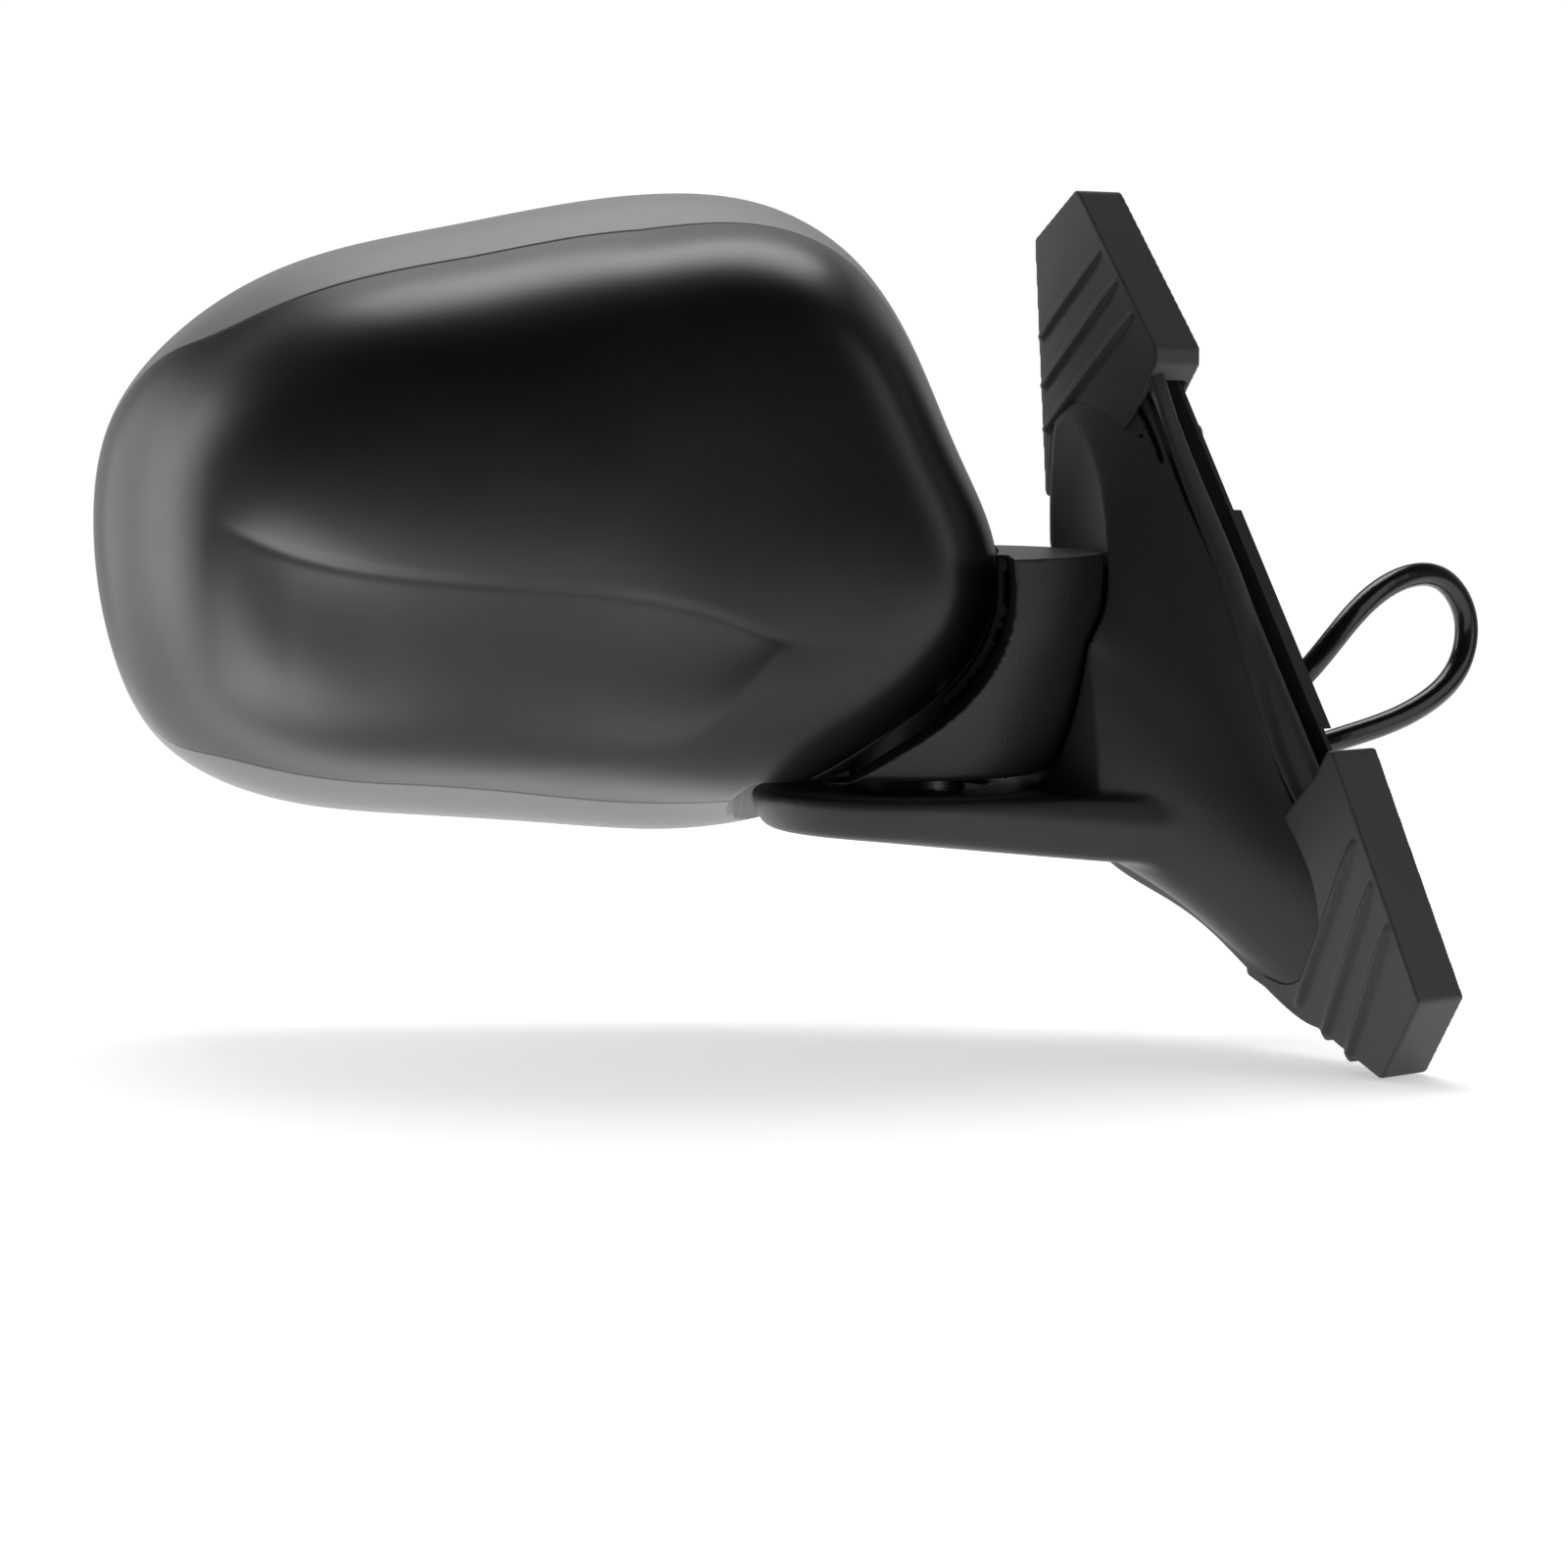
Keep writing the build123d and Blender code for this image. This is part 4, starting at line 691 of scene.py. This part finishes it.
HEATER = finish_material("heater_film", (0.10, 0.05, 0.02), 0.35, grain=0.002, relief=0.00003)
RUBBER = finish_material("grommet_rubber", (0.015, 0.015, 0.015), 0.7, grain=0.0006, relief=0.00003,
                         round_edge=0.0004)
WHITE_NYLON = finish_material("connector_white", (0.72, 0.71, 0.66), 0.4, mottle=0.05, round_edge=0.0003)
SILVER = finish_material("mirror_silver", (0.80, 0.84, 0.88), 0.02, metallic=1.0, mottle=0.01)

FINISHES = {
    "cap": SATIN, "bezel": BEZEL_PAINTED_REFLECTION, "neck_cover": GRAINED, "head_bracket": NYLON, "gimbal_ring": NYLON,
    "pivot_bush": ACETAL, "yaw_worm": ACETAL, "pitch_worm": ACETAL, "yaw_gear": ACETAL, "pitch_gear": ACETAL,
    "yaw_screw": ACETAL, "pitch_screw": ACETAL, "bezel_screws": ZINC, "case_screws": ZINC,
    "pivot_screws": ZINC, "cover_screws": ZINC, "mount_studs": ZINC, "pivot_shaft": ZINC,
    "heater_terminals": ZINC, "actuator_case_rear": CASE, "actuator_case_front": CASE,
    "motor_yaw": MOTOR, "motor_pitch": MOTOR,
    "base_cover": MATTE, "glass_holder": MATTE, "heater_pad": HEATER, "mirror_glass": SILVER,
    "head_wires": VINYL, "wire_harness": VINYL, "detent_ring": SPRING, "pivot_spring": SPRING,
    "spring_retainer": SPRING, "base_bracket": DIE_CAST, "mount_gasket": FOAM, "harness_grommet": RUBBER,
    "harness_connector": WHITE_NYLON, "protector_upper": GUARD, "protector_lower": GUARD,
}


def dress(obj, mat):
    """Gives obj one material."""
    obj.data.materials.clear()
    obj.data.materials.append(mat)


for node_name, node_object in frame["nodes"].items():
    dress(node_object, FINISHES[node_name])

# ---------------------------------------------------------------- assembly
def parting_distances(profiles):
    """Distance along each profile, from the rim, at which it crosses the line between cap and bezel."""
    out = []
    for profile in profiles:
        gap = profile[:, 1] - parting_v(profile[:, 0], profile[:, 2])
        k = int(np.argmax(gap < 0))
        along = chord(profile)
        share = gap[k - 1] / (gap[k - 1] - gap[k])
        out.append(along[k - 1] + (along[k] - along[k - 1]) * share)
    return np.array(out)


def place(obj, mat, body, slot, *nodes):
    """Finishes a new piece: its material, the body it rides on and the CAD nodes it stands for."""
    dress(obj, mat)
    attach(obj, body)
    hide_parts(*nodes)


PROFILES = head_profiles()
PARTING = parting_distances(PROFILES)
CAP_SHELL = build_cap(PROFILES, PARTING)
place(CAP_SHELL, SATIN, "head", "textured_black", "cap")
# The bezel's grey finish is painted reflection of the white surround.
place(build_bezel(PROFILES, PARTING), BEZEL_PAINTED_REFLECTION, "head", "bezel_grey", "bezel")

NECK_VOXEL, BASE_VOXEL, SHELL_ROUNDS = 0.5, 0.7, 5
NECK_SHELL = remoulded("neck_shell", "neck_cover", NECK_VOXEL, SHELL_ROUNDS)
place(NECK_SHELL, GRAINED, "head", "grained_black", "neck_cover")
FILLERS = [shelf_fairing(), flange_ring()]
BASE_SHELL = remoulded("base_shell", "base_cover", BASE_VOXEL, SHELL_ROUNDS, FILLERS, undercut, under_the_arm)
place(BASE_SHELL, MATTE, "base", "matte_black", "base_cover")
for guard_name, guard_node, guard_ribs, guard_edge in (
    ("upper_guard", "protector_upper", UPPER_RIBS, UPPER_EDGE),
    ("lower_guard", "protector_lower", LOWER_RIBS, LOWER_EDGE),
):
    place(guard(guard_name, guard_node, guard_ribs, guard_edge), GUARD, "base", "soft_guard", guard_node)

# ---------------------------------------------------------------- stage, light and camera
SURROUND, SOFT_SURROUND, FLOOR_GLOW = 0.75, 1.5, 1.3  # as mirrored, as diffuse light, and from below
# Camera: eye in head axes, lens and sensor in millimetres.
VIEW_TILT = math.radians(6.0)
VIEW_DIR = V_DIR * math.cos(VIEW_TILT) - W_DIR * math.sin(VIEW_TILT)
VIEW_UP = V_DIR * math.sin(VIEW_TILT) + W_DIR * math.cos(VIEW_TILT)
EYE = to_row((-31.36, -947.4, 74.94))
LENS, SENSOR = 87.24, 36.0
# Floor: under the part, metres.
FLOOR_DROP, FLOOR_R, FLOOR_CENTRE = 0.0005, 0.9, (-60.0, 0.0, 0.0)
FLOOR_COLOUR, FLOOR_ROUGH, FLOOR_EMISSION = (0.82, 0.82, 0.82, 1), 0.9, 0.4
FADE_FROM, FADE_TO = 0.35, 0.98  # shares of its radius over which it fades out
# Soft lights: name, place and aim in head axes, width and height in metres, watts.
LIGHTS = (
    ("left_light", (-900, 300, 60), (-150, 0, 40), 0.5, 0.9, 3),
    ("top_light", (-80, 420, 800), (-80, 20, 60), 0.8, 0.5, 5),
    ("right_light", (750, -350, 250), (60, 0, 20), 0.4, 0.7, 1),
    ("crease_light", (-820, -300, -560), (-150, -40, 30), 0.45, 0.45, 11),
)


def build_camera():
    """Camera looking along the head's own depth, a little from above."""
    data = bpy.data.cameras.new("camera")
    data.lens, data.sensor_width = LENS, SENSOR
    camera = bpy.data.objects.new("camera", data)
    bpy.context.scene.collection.objects.link(camera)
    turn = Matrix((U_DIR, VIEW_UP, -VIEW_DIR)).transposed().to_4x4()
    camera.matrix_world = Matrix.Translation(EYE) @ turn
    bpy.context.scene.camera = camera


def ramp(item, low, high, start, end):
    """Sets a map range node to run from start at low to end at high."""
    item.inputs["From Min"].default_value, item.inputs["From Max"].default_value = low, high
    item.inputs["To Min"].default_value, item.inputs["To Max"].default_value = start, end


def build_world():
    """White surround that is dim on the camera's side, as the wall behind a photographer is.

    Diffuse rays see a softer version of it, and rays from the camera see plain white all round."""
    world = bpy.data.worlds.new("studio")
    bpy.context.scene.world = world
    world.use_nodes = True
    tree = world.node_tree
    tree.nodes.clear()
    coords = add_node(tree, "ShaderNodeTexCoord")
    dot = add_node(tree, "ShaderNodeVectorMath", operation="DOT_PRODUCT")
    dot.inputs[1].default_value = tuple(VIEW_DIR)
    link(tree, coords.outputs["Generated"], dot.inputs[0])
    apart = add_node(tree, "ShaderNodeSeparateXYZ")
    link(tree, coords.outputs["Generated"], apart.inputs[0])
    parts = {}
    # Each ramp runs over (from, to) and gives (value at from, value at to).
    for part, socket, stops in (
        ("behind", dot.outputs["Value"], (-0.25, 0.95, 0.015, SURROUND)),
        ("wide", dot.outputs["Value"], (-0.75, 0.75, 0.25, SOFT_SURROUND)),
        ("above", apart.outputs["Z"], (0.1, 0.75, 1.0, 0.1)),
        ("below", apart.outputs["Z"], (-0.12, -0.6, 0.0, FLOOR_GLOW)),
    ):
        parts[part] = add_node(tree, "ShaderNodeMapRange", interpolation_type="SMOOTHSTEP")
        ramp(parts[part], *stops)
        link(tree, socket, parts[part].inputs["Value"])
    sky = add_node(tree, "ShaderNodeMath", operation="MULTIPLY")
    link(tree, parts["behind"].outputs["Result"], sky.inputs[0])
    link(tree, parts["above"].outputs["Result"], sky.inputs[1])
    shaped = add_node(tree, "ShaderNodeMath", operation="MAXIMUM")
    link(tree, sky.outputs["Value"], shaped.inputs[0])
    link(tree, parts["below"].outputs["Result"], shaped.inputs[1])
    ray = add_node(tree, "ShaderNodeLightPath")
    seen = add_node(tree, "ShaderNodeMix", data_type="FLOAT")
    link(tree, ray.outputs["Is Diffuse Ray"], seen.inputs[0])
    link(tree, shaped.outputs["Value"], seen.inputs[2])
    link(tree, parts["wide"].outputs["Result"], seen.inputs[3])
    surround = add_node(tree, "ShaderNodeBackground")
    link(tree, seen.outputs[0], surround.inputs["Strength"])
    plain = add_node(tree, "ShaderNodeBackground", Color=(1, 1, 1, 1), Strength=1.0)
    mix = add_node(tree, "ShaderNodeMixShader")
    link(tree, ray.outputs["Is Camera Ray"], mix.inputs[0])
    link(tree, surround.outputs[0], mix.inputs[1])
    link(tree, plain.outputs[0], mix.inputs[2])
    out = add_node(tree, "ShaderNodeOutputWorld")
    link(tree, mix.outputs[0], out.inputs["Surface"])


def build_floor(height):
    """Plain pale floor whose edge fades into the surround."""
    turns = np.radians(np.arange(0, 360, 5))
    centre = Vector(to_row(FLOOR_CENTRE))
    verts = [(centre.x, centre.y, height)]
    verts += [(centre.x + FLOOR_R * math.cos(a), centre.y + FLOOR_R * math.sin(a), height) for a in turns]
    faces = [(0, 1 + i, 1 + (i + 1) % len(turns)) for i in range(len(turns))]
    floor = new_object("floor", verts, faces)
    mat = bpy.data.materials.new("pale_floor")
    mat.use_nodes = True
    tree = mat.node_tree
    body = tree.nodes["Principled BSDF"]
    body.inputs["Base Color"].default_value = FLOOR_COLOUR
    body.inputs["Roughness"].default_value = FLOOR_ROUGH
    body.inputs["Emission Color"].default_value = (1, 1, 1, 1)
    body.inputs["Emission Strength"].default_value = FLOOR_EMISSION
    where = add_node(tree, "ShaderNodeNewGeometry")
    apart = add_node(tree, "ShaderNodeVectorMath", operation="DISTANCE")
    apart.inputs[1].default_value = (centre.x, centre.y, height)
    link(tree, where.outputs["Position"], apart.inputs[0])
    fade = add_node(tree, "ShaderNodeMapRange", interpolation_type="SMOOTHSTEP")
    fade.inputs["From Min"].default_value = FLOOR_R * FADE_FROM
    fade.inputs["From Max"].default_value = FLOOR_R * FADE_TO
    link(tree, apart.outputs["Value"], fade.inputs["Value"])
    clear = add_node(tree, "ShaderNodeBsdfTransparent")
    mix = add_node(tree, "ShaderNodeMixShader")
    link(tree, fade.outputs["Result"], mix.inputs[0])
    link(tree, body.outputs[0], mix.inputs[1])
    link(tree, clear.outputs[0], mix.inputs[2])
    link(tree, mix.outputs[0], tree.nodes["Material Output"].inputs["Surface"])
    dress(floor, mat)
    floor.visible_shadow = False  # the crease light shines from below it


def softbox(name, eye, aim, width, height, power):
    """Rectangular soft light at one place in head axes, aimed at another."""
    data = bpy.data.lights.new(name, "AREA")
    data.shape, data.size, data.size_y, data.energy = "RECTANGLE", width, height, power
    lamp = bpy.data.objects.new(name, data)
    bpy.context.scene.collection.objects.link(lamp)
    lamp.location, target = Vector(to_row(eye)), Vector(to_row(aim))
    lamp.rotation_mode = "QUATERNION"
    lamp.rotation_quaternion = (target - lamp.location).to_track_quat("-Z", "Y")
    return lamp


build_camera()
build_world()
build_floor(CAD_BOX[0][2] - FLOOR_DROP)
LAMPS = {setting[0]: softbox(*setting) for setting in LIGHTS}
ON_CAP = bpy.data.collections.new("lit_by_crease_light")
ON_CAP.objects.link(CAP_SHELL)
LAMPS["crease_light"].light_linking.receiver_collection = ON_CAP
bpy.context.scene.view_settings.view_transform = "Standard"
